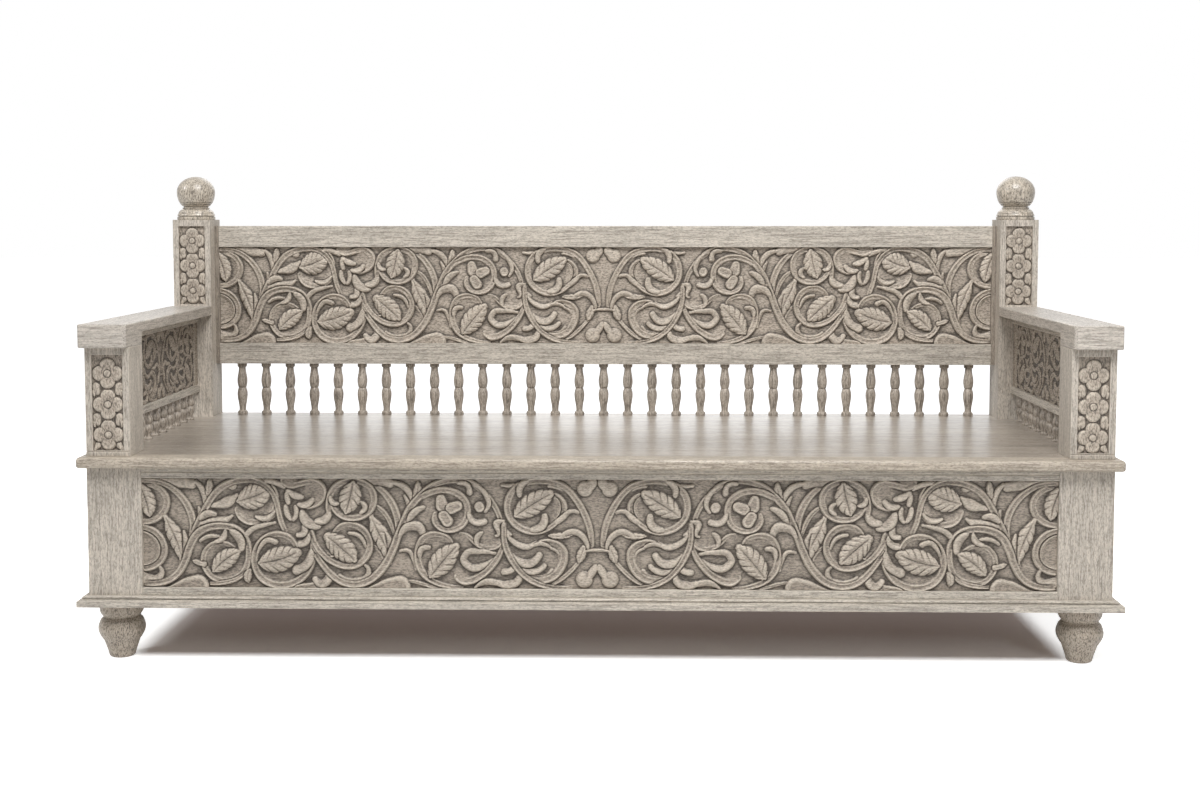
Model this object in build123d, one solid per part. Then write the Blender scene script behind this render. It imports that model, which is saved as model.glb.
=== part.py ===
from build123d import *
import os
from typing import NamedTuple

os.makedirs("parts", exist_ok=True)

# A carved takht: a wide panelled bench on turned feet, with arms, corner posts and a carved back.
# Millimetres. X runs along the bench, Y from front to back, Z up.
# The origin is on the floor, under the middle of the whole outline.

# ---------------------------------------------------------------- driving dimensions

# Overall plan
seat_length = 2104.0
body_depth = 730.0            # front face of the box to the back of the rear posts
seat_side_overhang = 17.0
seat_front_overhang = 22.0
plinth_overhang = 20.0

# Stack of heights, floor to seat
foot_height = 115.0
plinth_height = 21.0
bottom_rail_height = 16.0
box_panel_height = 225.0
top_rail_height = 22.0
seat_thickness = 22.0

# Stack of heights above the seat, sides
side_spindle_length = 63.0
side_lower_rail_height = 15.0
side_panel_height = 152.0
side_top_rail_height = 17.0
arm_lip = 22.0                # arm thickness left over the side frame
arm_thickness = 48.0

# Stack of heights above the seat, back
back_spindle_length = 126.0
back_bottom_rail_height = 50.0
back_panel_height = 234.0
back_top_rail_height = 51.0
post_rise = 15.0              # rear post above the back's top rail

# Posts, stiles and rails
post_size = 90.0
corner_post_width = 110.0
rail_depth = 45.0
back_frame_thickness = 36.0
back_frame_recess = 38.0      # front of the rear posts to the front of the back frame
side_frame_thickness = 26.0
side_frame_recess = 30.0      # inner face of the posts to the inner face of the side frame
back_stile_show = 10.0
back_stile_housing = 15.0

# Panels
box_panel_thickness = 20.0
back_panel_thickness = 20.0
side_panel_thickness = 16.0
panel_setback = 1.5
tongue_length = 7.0
box_tongue_thickness = 10.0
side_tongue_thickness = 6.0

# Scroll carving of the front and back panels; its design is drawn on half a panel of this size
design_width = 925.0
design_height = 225.0
carving_depth = 8.0           # the stems and leaves stand this far above the ground
carving_margin = 1.5          # ground left round the panel's edge
stem_width = 14.0

# Fine line along the top rails of the box, under the seat
rail_line_drop = 8.0
rail_line_width = 2.5
rail_line_depth = 1.5

# Seat boards
nosing_width = 50.0
seat_board_count = 6
board_tongue_length = 6.0
board_tongue_thickness = 6.0
board_tongue_stop = 40.0      # the tongues stop short of the rounded board ends
seat_top_round = 8.0
seat_under_round = 5.0
seat_corner_round = 10.0
ledger_depth = 30.0
ledger_height = 50.0
bearer_count = 3
bearer_width = 45.0
bearer_notch = 12.0           # bearer end let into the ledger

# Arms
arm_outer_overhang = 7.0
arm_front_overhang = 20.0
arm_edge_round = 3.0
arm_corner_chamfer = 6.0

# Carved fields on the posts
field_width = 63.0
field_depth = 7.0
field_foot = 12.0             # plain band under the arm post's field
field_head = 15.0             # plain band over the fields
field_sill = 4.0              # plain band between the arm and the rear post's field
scribe_height = 9.0           # scribed line above the seat, round the foot of the arm post
scribe_depth = 1.5

# Turnings
foot_inset = 52.0             # foot axis in from the box face at the ends
foot_radius = 47.5
foot_bottom_radius = 23.0
foot_lip = 3.5                # the lip above the bottom stands out by this much
foot_spigot_radius = 15.0
foot_spigot_length = 60.0
finial_height = 104.0
finial_radius = 45.0
finial_base_height = 29.0
finial_neck_radius = 29.0
finial_spigot_radius = 12.0
finial_spigot_length = 40.0
spindle_radius = 12.5
spindle_neck_radius = 8.4
spindle_pin_radius = 5.0
spindle_pin_length = 9.0
back_spindle_count = 31
side_spindle_count = 9

# Joints and clearances
post_tenon_size = 44.0
post_tenon_depth = 50.0       # below the seat boards
arm_tenon_height = 28.0
rail_tenon_length = 18.0
side_tenon_length = 15.0
tenon_shoulder = 3.0
side_tenon_shoulder = 2.0
screw_radius = 2.5
screw_head_radius = 5.0
screw_head_height = 4.0
screw_bite = 12.0             # screw length in the seat board
screw_cover = 6.0             # from the bearer's underside up to the screw head
cheek_gap = 0.2               # each side of a tenon, tongue, pin or housed edge
end_gap = 1.0                 # beyond the end of a tenon, tongue or pin
panel_gap = 0.4               # round the shown edge of a floating panel
board_gap = 0.4               # between seat boards

# ---------------------------------------------------------------- derived levels and planes

plinth_bottom = foot_height
plinth_top = plinth_bottom + plinth_height
box_panel_bottom = plinth_top + bottom_rail_height
box_panel_top = box_panel_bottom + box_panel_height
box_top = box_panel_top + top_rail_height
seat_top = box_top + seat_thickness

side_rail_bottom = seat_top + side_spindle_length
side_panel_bottom = side_rail_bottom + side_lower_rail_height
side_panel_top = side_panel_bottom + side_panel_height
side_frame_top = side_panel_top + side_top_rail_height
arm_top = side_frame_top + arm_lip
arm_bottom = arm_top - arm_thickness

back_rail_bottom = seat_top + back_spindle_length
back_panel_bottom = back_rail_bottom + back_bottom_rail_height
back_panel_top = back_panel_bottom + back_panel_height
back_frame_top = back_panel_top + back_top_rail_height
post_top = back_frame_top + post_rise

seat_half = seat_length / 2
body_half = seat_half - seat_side_overhang
post_inner = body_half - post_size
stile_inner = body_half - corner_post_width
post_x = body_half - post_size / 2
foot_x = body_half - foot_inset

front_reach = max(seat_front_overhang, plinth_overhang)
body_front = (front_reach - plinth_overhang - body_depth) / 2
body_back = body_front + body_depth
body_middle = (body_front + body_back) / 2
post_back = body_front + post_size          # rear face of the front posts
rear_post_front = body_back - post_size
front_post_y = body_front + post_size / 2
rear_post_y = body_back - post_size / 2

side_frame_x = post_inner + side_frame_recess
side_frame_outer = side_frame_x + side_frame_thickness
side_middle_x = (side_frame_x + side_frame_outer) / 2
back_frame_y = rear_post_front + back_frame_recess
back_frame_back = back_frame_y + back_frame_thickness
back_middle_y = (back_frame_y + back_frame_back) / 2
back_stile_inner = post_inner - back_stile_show
back_stile_outer = post_inner + back_stile_housing
groove_depth = tongue_length + end_gap

mirror_x = Plane.YZ
mirror_y = Plane(origin=(0, body_middle, 0), z_dir=(0, 1, 0))


# ---------------------------------------------------------------- small tools

class Block(NamedTuple):
    """A square-edged stick between two corners."""

    x0: float
    x1: float
    y0: float
    y1: float
    z0: float
    z1: float

    def solid(self):
        """The stick as a solid."""
        centre = Pos((self.x0 + self.x1) / 2, (self.y0 + self.y1) / 2, (self.z0 + self.z1) / 2)
        return centre * Box(self.x1 - self.x0, self.y1 - self.y0, self.z1 - self.z0)

    def grown(self, x=0.0, y=0.0, z=0.0):
        """The stick made larger by x, y and z on both sides, as its socket is."""
        return Block(self.x0 - x, self.x1 + x, self.y0 - y, self.y1 + y, self.z0 - z, self.z1 + z)


def socket(tenon, along):
    """The hole for a tenon that enters along one axis: cheeks all round, play at its end."""
    gaps = {axis: end_gap if axis == along else cheek_gap for axis in "xyz"}
    return tenon.grown(**gaps).solid()


def upright(x, y, z0, z1, radius):
    """A round pin, hole or shank that stands at x, y from z0 to z1."""
    return Pos(x, y, (z0 + z1) / 2) * Cylinder(radius, z1 - z0)


def stations(*points):
    """Straight runs through points given as radius and height, in the XZ plane."""
    return Polyline([(radius, 0, height) for radius, height in points])


def bulge(points, tangents):
    """A smooth curve through points given as radius and height, with its two end directions."""
    return Spline([(radius, 0, height) for radius, height in points],
                  tangents=[(across, 0, up) for across, up in tangents])


def turned(outline):
    """A turning about Z from an outline that starts and ends on the axis."""
    return revolve(make_face(outline), Axis.Z)


def write(name, shape):
    """One STEP file per named piece."""
    export_step(shape, f"parts/{name}.step")


def write_pair(name, right):
    """The right-hand piece and the left-hand piece that mirrors it."""
    write(f"{name}_right", right)
    write(f"{name}_left", mirror(right, about=mirror_x))


def write_four(name, front_right):
    """The front right-hand piece and its mirror images at the other three corners."""
    write_pair(f"{name}_front", front_right)
    write_pair(f"{name}_rear", mirror(front_right, about=mirror_y))


# ---------------------------------------------------------------- tenons shared by two pieces

# A rail's tenon stands behind its panel groove; depths are measured in from the outer face.
tenon_front = panel_setback + box_panel_thickness + cheek_gap + tenon_shoulder
tenon_rear = rail_depth - tenon_shoulder


def front_rail_tenon(z0, z1):
    """Tenon at the right end of a front rail that spans z0 to z1."""
    return Block(stile_inner, stile_inner + rail_tenon_length, body_front + tenon_front,
                 body_front + tenon_rear, z0 + tenon_shoulder, z1 - tenon_shoulder)


def end_rail_tenon(z0, z1):
    """Tenon at the front end of a right-hand end rail that spans z0 to z1."""
    return Block(body_half - tenon_rear, body_half - tenon_front, post_back - rail_tenon_length,
                 post_back, z0 + tenon_shoulder, z1 - tenon_shoulder)


ledger_front = body_front + rail_depth
ledger_back = ledger_front + ledger_depth
ledger_bottom = box_top - ledger_height
ledger_tenon = Block(stile_inner, stile_inner + rail_tenon_length,
                     ledger_front + tenon_shoulder, ledger_back - tenon_shoulder,
                     ledger_bottom + tenon_shoulder, box_top - tenon_shoulder)

post_tenon_half = post_tenon_size / 2
post_foot_tenon = Block(post_x - post_tenon_half, post_x + post_tenon_half,
                        front_post_y - post_tenon_half, front_post_y + post_tenon_half,
                        box_top - post_tenon_depth, seat_top)
arm_post_tenon = post_foot_tenon._replace(z0=arm_bottom, z1=arm_bottom + arm_tenon_height)
rear_foot_tenon = post_foot_tenon._replace(y0=rear_post_y - post_tenon_half,
                                           y1=rear_post_y + post_tenon_half)

# The arm's rear tenon and the side rails' tenons enter the posts along Y.
arm_rear_tenon = Block(side_frame_outer, body_half - 3 * tenon_shoulder,
                       rear_post_front, rear_post_front + side_tenon_length,
                       arm_bottom + 2 * tenon_shoulder, arm_top - 2 * tenon_shoulder)


def side_rail_tenons(z0, z1):
    """Front and rear tenons of a side rail, outside its panel groove."""
    cheek = side_middle_x + side_tongue_thickness / 2 + cheek_gap + side_tenon_shoulder
    base = Block(cheek, side_frame_outer - side_tenon_shoulder, 0, 0,
                 z0 + side_tenon_shoulder, z1 - side_tenon_shoulder)
    return (base._replace(y0=post_back - side_tenon_length, y1=post_back),
            base._replace(y0=rear_post_front, y1=rear_post_front + side_tenon_length))


side_tenons = (side_rail_tenons(side_rail_bottom, side_panel_bottom)
               + side_rail_tenons(side_panel_top, side_frame_top))

# ---------------------------------------------------------------- panels: body, tongue and groove

box_panel_face = body_front + panel_setback
box_panel_rear = box_panel_face + box_panel_thickness
front_panel_show = Block(-stile_inner, stile_inner, box_panel_face, box_panel_rear,
                         box_panel_bottom, box_panel_top)
front_tongue = front_panel_show._replace(y0=box_panel_rear - box_tongue_thickness)
end_panel_show = Block(body_half - panel_setback - box_panel_thickness, body_half - panel_setback,
                       post_back, rear_post_front, box_panel_bottom, box_panel_top)
end_tongue = end_panel_show._replace(x1=end_panel_show.x0 + box_tongue_thickness)

back_panel_face = back_frame_y + panel_setback
back_panel_show = Block(-back_stile_inner, back_stile_inner,
                        back_panel_face, back_panel_face + back_panel_thickness,
                        back_panel_bottom, back_panel_top)
back_tongue = back_panel_show._replace(y0=back_panel_show.y1 - box_tongue_thickness)

side_panel_show = Block(side_middle_x - side_panel_thickness / 2, side_middle_x + side_panel_thickness / 2,
                        post_back, rear_post_front, side_panel_bottom, side_panel_top)
side_tongue = side_panel_show._replace(x0=side_middle_x - side_tongue_thickness / 2,
                                       x1=side_middle_x + side_tongue_thickness / 2)


def panel_along_x(show, tongue):
    """A panel that faces front or back, with its tongue all round."""
    body = show.grown(x=-panel_gap, z=-panel_gap).solid()
    return body + tongue.grown(x=tongue_length, z=tongue_length).solid()


def panel_along_y(show, tongue):
    """A panel that faces left or right, with its tongue all round."""
    body = show.grown(y=-panel_gap, z=-panel_gap).solid()
    return body + tongue.grown(y=tongue_length, z=tongue_length).solid()


def groove_along_x(tongue):
    """The groove round a panel that faces front or back."""
    return tongue.grown(x=groove_depth, y=cheek_gap, z=groove_depth).solid()


def groove_along_y(tongue):
    """The groove round a panel that faces left or right."""
    return tongue.grown(y=groove_depth, x=cheek_gap, z=groove_depth).solid()


# ---------------------------------------------------------------- scroll carving

class Leaf(NamedTuple):
    """A leaf or lobe of the design from its stalk to its tip, with its greatest width."""
    x0: float
    y0: float
    x1: float
    y1: float
    width: float


# Main stems of the left half, from its lower left corner: each runs through its 1st, 3rd, 5th ... point
# in arcs, and the points between are on the arcs.
stems = (
    ((-5, 214), (34, 205), (51, 176), (38, 146), (-7, 133)),
    ((-7, 125), (30, 111), (45, 81), (34, 50), (-7, 37)),
    ((0, 219), (55, 206), (89, 174), (104, 130), (95, 85)),
    ((101, 104), (117, 144), (145, 191), (197, 221), (248, 213), (275, 180), (280, 138)),
    ((191, 160), (230, 133), (268, 149)),
    ((0, 7), (50, 12), (84, 50), (104, 103), (141, 126), (199, 116), (217, 70), (193, 21), (140, 22),
     (122, 55), (145, 91), (168, 94), (186, 81)),
    ((312, 70), (300, 104), (262, 107), (226, 65), (242, 16), (280, 3), (330, 23), (349, 80), (334, 133)),
    ((287, 217), (320, 210), (350, 217), (371, 196), (361, 174), (344, 167), (322, 169)),
    ((323, 159), (334, 138), (359, 127)),
    ((384, 158), (378, 138), (359, 127)),
    ((438, 221), (490, 202), (519, 150), (523, 121), (516, 89)),
    ((390, 112), (428, 132), (462, 104), (452, 54), (411, 43), (370, 64), (347, 99)),
    ((381, 149), (386, 199), (430, 222), (474, 190), (450, 147), (417, 143), (388, 165)),
    ((350, 72), (388, 22), (440, 6), (480, 28), (508, 76), (525, 122), (547, 168), (582, 204), (630, 222),
     (691, 200), (730, 138)),
    ((565, 186), (608, 203), (650, 190), (662, 146), (630, 118), (604, 123), (593, 138)),
    ((622, 105), (588, 111), (563, 90), (558, 55), (575, 24), (609, 6), (650, 2)),
    ((655, 112), (675, 93), (702, 81), (727, 89), (735, 109)),
    ((718, 74), (680, 75), (654, 59), (682, 43), (723, 66)),
    ((735, 100), (717, 50), (676, 17), (655, 12), (639, 22)),
    ((736, 133), (737, 95), (755, 52), (796, 13), (871, 3)),
    ((774, 28), (822, 17), (856, 50), (851, 87), (818, 97)),
    ((743, 81), (775, 53), (807, 68)),
    ((770, 41), (802, 25), (832, 37)),
    ((742, 112), (766, 91), (801, 94)),
    ((822, 195), (859, 172), (833, 131)),
    ((838, 133), (858, 150), (886, 157)),
    ((913, 89), (905, 143), (870, 200), (820, 222), (765, 211), (741, 168), (765, 124), (793, 116), (833, 130)),
)

leaves = (
    Leaf(-6, 210, 14, 146, 38), Leaf(46, 146, 80, 52, 34), Leaf(196, 178, 258, 202, 48),
    Leaf(144, 33, 196, 73, 40), Leaf(238, 50, 313, 72, 48), Leaf(466, 149, 503, 52, 36),
    Leaf(379, 104, 432, 57, 46), Leaf(430, 212, 415, 155, 42), Leaf(586, 23, 638, 85, 44),
    Leaf(759, 149, 829, 194, 42), Leaf(59, 2, 129, 5, 28), Leaf(469, 2, 533, 5, 28),
    Leaf(21, 219, 102, 211, 18), Leaf(452, 219, 510, 213, 18), Leaf(-6, 22, 36, 36, 24),
    Leaf(358, 4, 384, 40, 17), Leaf(888, 8, 932, 44, 20), Leaf(896, 194, 924, 222, 18),
    Leaf(590, 175, 624, 192, 24), Leaf(644, 180, 622, 152, 24), Leaf(602, 132, 632, 154, 22),
)


def stem_bands(stem, across, up):
    """A band of even width along a stem of the design, fitted to the panel: one face for each arc."""
    points = [Vector(x * across, y * up) for x, y in stem]
    arcs = [ThreePointArc(*points[i:i + 3]) for i in range(0, len(points) - 2, 2)]
    headings = [arcs[0] % 0]
    for arc, following in zip(arcs, arcs[1:] + arcs[-1:]):
        end_heading = (arc % 1) + (following % 0 if following is not arc else arc % 1)
        headings += [arc % 0.5, end_heading.normalized()]
    bands = []
    for arc, ways in zip(arcs, zip(headings[::2], headings[1::2], headings[2::2])):
        left, right = [ThreePointArc(*[arc @ share + way.rotate(Axis.Z, turn) * (stem_width / 2)
                                       for share, way in zip((0, 0.5, 1), ways)]) for turn in (90, -90)]
        bands.append(make_face(left + Line(left @ 1, right @ 1) + right + Line(right @ 0, left @ 0)))
    return bands


def leaf_face(leaf, across, up):
    """A pointed leaf between two arcs, fitted to the panel."""
    stalk, tip = Vector(leaf.x0 * across, leaf.y0 * up), Vector(leaf.x1 * across, leaf.y1 * up)
    side = (tip - stalk).normalized().rotate(Axis.Z, 90) * (leaf.width / 2)
    middle = (stalk + tip) / 2
    return make_face(ThreePointArc(stalk, middle + side, tip) + ThreePointArc(tip, middle - side, stalk))


def carved_panel_along_x(show, tongue):
    """A panel whose main stems and leaves stand out of its ground, up to its shown face."""
    half_width, height = (show.x1 - show.x0) / 2, show.z1 - show.z0
    across, up = half_width / design_width, height / design_height
    ground = show._replace(y0=show.y0 + carving_depth)
    root = carving_depth / 4
    design = Sketch() + [band for stem in stems for band in stem_bands(stem, across, up)]
    design += [leaf_face(leaf, across, up) for leaf in leaves]
    design &= (Pos((half_width + carving_margin) / 2, height / 2)
               * Rectangle(half_width - carving_margin, height - 2 * carving_margin))
    left = Pos(-half_width, 0) * design
    face = Plane(origin=(0, ground.y0 + root, show.z0), x_dir=(1, 0, 0), z_dir=(0, -1, 0))
    relief = extrude(face * (left + mirror(left, about=Plane.YZ)), carving_depth + root)
    return panel_along_x(ground, tongue) + relief


# ---------------------------------------------------------------- box base

def foot_outline():
    """Vase-shaped foot: small base, full belly, pinched neck and a rounded cap, then its spigot."""
    lip = (foot_bottom_radius + foot_lip, foot_height * 0.045)
    calf = ((foot_bottom_radius + foot_radius) / 2, foot_height * 0.30)
    belly = (foot_radius, foot_height * 0.53)
    neck = (foot_radius * 0.76, foot_height * 0.73)
    cap = (foot_radius * 0.94, foot_height * 0.87)
    spigot_top = foot_height + foot_spigot_length
    vase = bulge([lip, calf, belly, neck], [(0.15, 1), (-0.9, 0.6)])
    cap_curve = bulge([neck, cap], [(1, 0.35), (0.1, 1)])
    return (stations((0, 0), (foot_bottom_radius, 0), lip) + vase + cap_curve
            + stations(cap, (cap[0], foot_height), (foot_spigot_radius, foot_height),
                       (foot_spigot_radius, spigot_top), (0, spigot_top), (0, 0)))


foot_socket = upright(foot_x, front_post_y, plinth_bottom, foot_height + foot_spigot_length + end_gap,
                      foot_spigot_radius + cheek_gap)


def plinth_profile():
    """Moulded edge in the YZ plane: square fascia, hollow, and a small bead at the top.

    Y is measured outwards from the box face, and the board reaches one post's depth inwards."""
    fascia_top = plinth_bottom + plinth_height * 0.57
    bead_bottom = plinth_bottom + plinth_height * 0.72
    bead_radius = (plinth_top - bead_bottom) / 2
    hollow_depth = plinth_overhang * 0.45
    bead_foot = plinth_overhang - hollow_depth - bead_radius
    hollow_middle = (0, plinth_overhang - hollow_depth * 0.7, fascia_top + (bead_bottom - fascia_top) * 0.45)
    hollow = ThreePointArc((0, plinth_overhang, fascia_top), hollow_middle, (0, bead_foot, bead_bottom))
    bead = ThreePointArc((0, bead_foot, bead_bottom), (0, bead_foot + bead_radius, bead_bottom + bead_radius),
                         (0, bead_foot, plinth_top))
    board = Polyline((0, bead_foot, plinth_top), (0, -post_size, plinth_top), (0, -post_size, plinth_bottom),
                     (0, plinth_overhang, plinth_bottom), (0, plinth_overhang, fascia_top))
    return hollow + bead + board


def mitred_moulding(length):
    """A plinth board for a box face of this length, centred on X, its face towards +Y, ends at 45 degrees."""
    outer = length / 2 + plinth_overhang
    inner = length / 2 - post_size
    bar = extrude(make_face(plinth_profile()), outer, dir=(1, 0, 0), both=True)
    plan = Polyline((-outer, plinth_overhang), (outer, plinth_overhang), (inner, -post_size),
                    (-inner, -post_size), close=True)
    prism = extrude(Plane.XY.offset(plinth_bottom) * make_face(plan), plinth_height)
    return bar & prism


front_plinth = Pos(0, body_front, 0) * Rot(0, 0, 180) * mitred_moulding(2 * body_half) - foot_socket
front_plinth -= mirror(foot_socket, about=mirror_x)
right_plinth = Pos(body_half, body_middle, 0) * Rot(0, 0, -90) * mitred_moulding(body_depth) - foot_socket
right_plinth -= mirror(foot_socket, about=mirror_y)
write("plinth_front", front_plinth)
write("plinth_rear", mirror(front_plinth, about=mirror_y))
write_pair("plinth", right_plinth)

write_four("foot", Pos(foot_x, front_post_y, 0) * turned(foot_outline()))

# Front frame of the box; the rear frame mirrors it.
corner_post = Block(stile_inner, body_half, body_front, post_back, plinth_top, box_top).solid()
for bottom, top in ((plinth_top, box_panel_bottom), (box_panel_top, box_top)):
    corner_post -= socket(front_rail_tenon(bottom, top), "x")
    corner_post -= socket(end_rail_tenon(bottom, top), "y")
corner_post -= socket(ledger_tenon, "x")
corner_post -= socket(post_foot_tenon, "z")
corner_post -= foot_socket
corner_post -= groove_along_x(front_tongue)
corner_post -= groove_along_y(end_tongue)
write_four("corner_post", corner_post)


def frame_rail(z0, z1):
    """A rail of the box's front frame with a tenon at each end and its panel groove."""
    tenon = front_rail_tenon(z0, z1).solid()
    rail = Block(-stile_inner, stile_inner, body_front, body_front + rail_depth, z0, z1).solid()
    return rail + tenon + mirror(tenon, about=mirror_x) - groove_along_x(front_tongue)


def end_rail(z0, z1):
    """A rail of the box's right end with a tenon at each end and its panel groove."""
    tenon = end_rail_tenon(z0, z1).solid()
    rail = Block(body_half - rail_depth, body_half, post_back, rear_post_front, z0, z1).solid()
    return rail + tenon + mirror(tenon, about=mirror_y) - groove_along_y(end_tongue)


line_top = box_top - rail_line_drop
front_line = Block(-stile_inner, stile_inner, body_front, body_front + rail_line_depth,
                   line_top - rail_line_width, line_top).solid()
end_line = Block(body_half - rail_line_depth, body_half, post_back, rear_post_front,
                 line_top - rail_line_width, line_top).solid()

front_rails = {"bottom": frame_rail(plinth_top, box_panel_bottom),
               "top": frame_rail(box_panel_top, box_top) - front_line}
end_rails = {"bottom": end_rail(plinth_top, box_panel_bottom),
             "top": end_rail(box_panel_top, box_top) - end_line}
for level in ("bottom", "top"):
    write(f"front_{level}_rail", front_rails[level])
    write(f"rear_{level}_rail", mirror(front_rails[level], about=mirror_y))
    write_pair(f"end_{level}_rail", end_rails[level])

write("front_carved_panel", carved_panel_along_x(front_panel_show, front_tongue))
write("rear_panel", mirror(panel_along_x(front_panel_show, front_tongue), about=mirror_y))
write_pair("end_panel", panel_along_y(end_panel_show, end_tongue))

# ---------------------------------------------------------------- seat carcass

bearer_gap = 2 * stile_inner / (bearer_count + 1)
bearer_places = [bearer_gap * (i + 1) - stile_inner for i in range(bearer_count)]
bearer_front = ledger_back
bearer_back = 2 * body_middle - ledger_back


def bearer_block(x):
    """A cross bearer at x, its ends let into the ledgers."""
    return Block(x - bearer_width / 2, x + bearer_width / 2, bearer_front - bearer_notch,
                 bearer_back + bearer_notch, ledger_bottom, box_top)


ledger = Block(-stile_inner, stile_inner, ledger_front, ledger_back, ledger_bottom, box_top).solid()
ledger += ledger_tenon.solid() + mirror(ledger_tenon.solid(), about=mirror_x)
for x in bearer_places:
    ledger -= bearer_block(x).grown(x=cheek_gap, y=cheek_gap).solid()
write("seat_ledger_front", ledger)
write("seat_ledger_rear", mirror(ledger, about=mirror_y))

# ---------------------------------------------------------------- holes in the seat

back_spindle_pitch = 2 * post_inner / (back_spindle_count + 1)
back_spindle_places = [back_spindle_pitch * (i + 1) - post_inner for i in range(back_spindle_count)]
side_spindle_pitch = (rear_post_front - post_back) / (side_spindle_count + 1)
side_spindle_places = [post_back + side_spindle_pitch * (i + 1) for i in range(side_spindle_count)]


def pin_hole(x, y, z0, z1):
    """Round hole for a spindle's pin."""
    return upright(x, y, z0, z1, spindle_pin_radius + cheek_gap)


pin_floor = seat_top - spindle_pin_length - end_gap
side_holes = [pin_hole(side_middle_x, y, pin_floor, seat_top) for y in side_spindle_places]
side_holes += [socket(post_foot_tenon, "z"), socket(rear_foot_tenon, "z")]
seat_holes = side_holes + [mirror(hole, about=mirror_x) for hole in side_holes]
seat_holes += [pin_hole(x, back_middle_y, pin_floor, seat_top) for x in back_spindle_places]

# ---------------------------------------------------------------- seat boards and their screws

seat_front = body_front - seat_front_overhang
nosing_back = seat_front + nosing_width
board_pitch = (body_back - nosing_back) / seat_board_count
board_edges = [seat_front] + [nosing_back + board_pitch * i for i in range(seat_board_count + 1)]
seat_middle_z = (box_top + seat_top) / 2


def round_over(board, top_or_bottom, radius, is_nosing):
    """Round a board's two ends, and a nosing's front edge with them, at its top or bottom face."""
    edges = board.edges().group_by(Axis.Z)[top_or_bottom]
    edges = edges.sort_by(Axis.Y)[:-1] if is_nosing else edges.filter_by(Axis.Y)
    return fillet(edges, radius)


def seat_board(front, back, is_nosing, is_last):
    """A board as long as the seat with rounded ends, a tongue at its rear and a groove at its front."""
    rear = back if is_last else back - board_gap
    board = Block(-seat_half, seat_half, front, rear, box_top, seat_top).solid()
    if is_nosing:
        board = fillet(board.edges().filter_by(Axis.Z).group_by(Axis.Y)[0], seat_corner_round)
    board = round_over(board, -1, seat_top_round, is_nosing)
    board = round_over(board, 0, seat_under_round, is_nosing)
    tongue = Block(-seat_half + board_tongue_stop, seat_half - board_tongue_stop,
                   rear, back + board_tongue_length,
                   seat_middle_z - board_tongue_thickness / 2, seat_middle_z + board_tongue_thickness / 2)
    if not is_last:
        board += tongue.solid()
    if not is_nosing:
        groove = tongue.grown(x=cheek_gap, z=cheek_gap)
        board -= groove._replace(y0=front, y1=front + board_tongue_length + end_gap).solid()
    return board


screw_bottom = ledger_bottom + screw_cover
screw_neck = screw_bottom + screw_head_height
screw_top = box_top + screw_bite
screw_margin = 2 * screw_head_radius


def screw(x, y):
    """A screw that stands in a bearer and bites into the board above."""
    return (upright(x, y, screw_bottom, screw_neck, screw_head_radius)
            + upright(x, y, screw_neck, screw_top, screw_radius))


def screw_hole(x, y):
    """Shank hole and counterbore for a screw, from under the bearer into the board."""
    return (upright(x, y, ledger_bottom, screw_neck, screw_head_radius + cheek_gap)
            + upright(x, y, screw_neck, screw_top + end_gap, screw_radius + cheek_gap))


screw_lines = []
for index in range(seat_board_count + 1):
    front, back = board_edges[index], board_edges[index + 1]
    board = seat_board(front, back, index == 0, index == seat_board_count)
    for hole in seat_holes:
        reach = hole.bounding_box()
        if reach.max.Y > front and reach.min.Y < back + board_tongue_length:
            board -= hole
    if index:
        middle = (front + back) / 2
        line = min(max(middle, bearer_front + screw_margin), bearer_back - screw_margin)
        screw_lines.append(line)
        for x in bearer_places:
            board -= screw_hole(x, line)
    write(f"seat_board_{index}" if index else "seat_nosing", board)

for index, x in enumerate(bearer_places):
    bearer = bearer_block(x).solid()
    for y in screw_lines:
        bearer -= screw_hole(x, y)
    write(f"seat_bearer_{index + 1}", bearer)
write("seat_screws", Compound(children=[screw(x, y) for x in bearer_places for y in screw_lines]))

# ---------------------------------------------------------------- arms and side frames

def carved_field(face, z0, z1):
    """The sunk field on a post's front face that holds its carved flowers."""
    half = field_width / 2
    return Block(post_x - half, post_x + half, face - field_depth, face + field_depth, z0, z1).solid()


arm_post = Block(post_inner, body_half, body_front, post_back, seat_top, arm_bottom).solid()
arm_post += post_foot_tenon.solid() + arm_post_tenon.solid()
arm_post -= carved_field(body_front, seat_top + field_foot, arm_bottom - field_head)
scribe_z = seat_top + scribe_height
arm_post -= Block(post_inner, body_half, body_front - scribe_depth, body_front + scribe_depth,
                  scribe_z, scribe_z + scribe_depth).solid()
arm_post -= groove_along_y(side_tongue)
for tenon in side_tenons[0::2]:
    arm_post -= socket(tenon, "y")
write_pair("arm_post", arm_post)

arm_rail = Block(post_inner, body_half + arm_outer_overhang, body_front - arm_front_overhang,
                 rear_post_front, arm_bottom, arm_top).solid()
front_corners = arm_rail.edges().filter_by(Axis.Z).group_by(Axis.Y)[0].sort_by(Axis.X)
arm_rail = chamfer(front_corners[:1], arm_corner_chamfer)
front_corners = arm_rail.edges().filter_by(Axis.Z).group_by(Axis.Y)[0].sort_by(Axis.X)
arm_rail = fillet(front_corners[-1:], arm_edge_round)
for face_level in (-1, 0):
    arm_rail = fillet(arm_rail.edges().group_by(Axis.Z)[face_level].sort_by(Axis.Y)[:-1], arm_edge_round)
# The rebate under its inner edge houses the side frame between the posts.
arm_rail -= Block(post_inner, side_frame_outer + cheek_gap, post_back, rear_post_front,
                  arm_bottom, side_frame_top).solid()
arm_rail -= groove_along_y(side_tongue._replace(y1=post_back))
arm_rail -= socket(side_tenons[2], "y") + socket(arm_post_tenon, "z")
arm_rail += arm_rear_tenon.solid()
write_pair("arm_rail", arm_rail)


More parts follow.
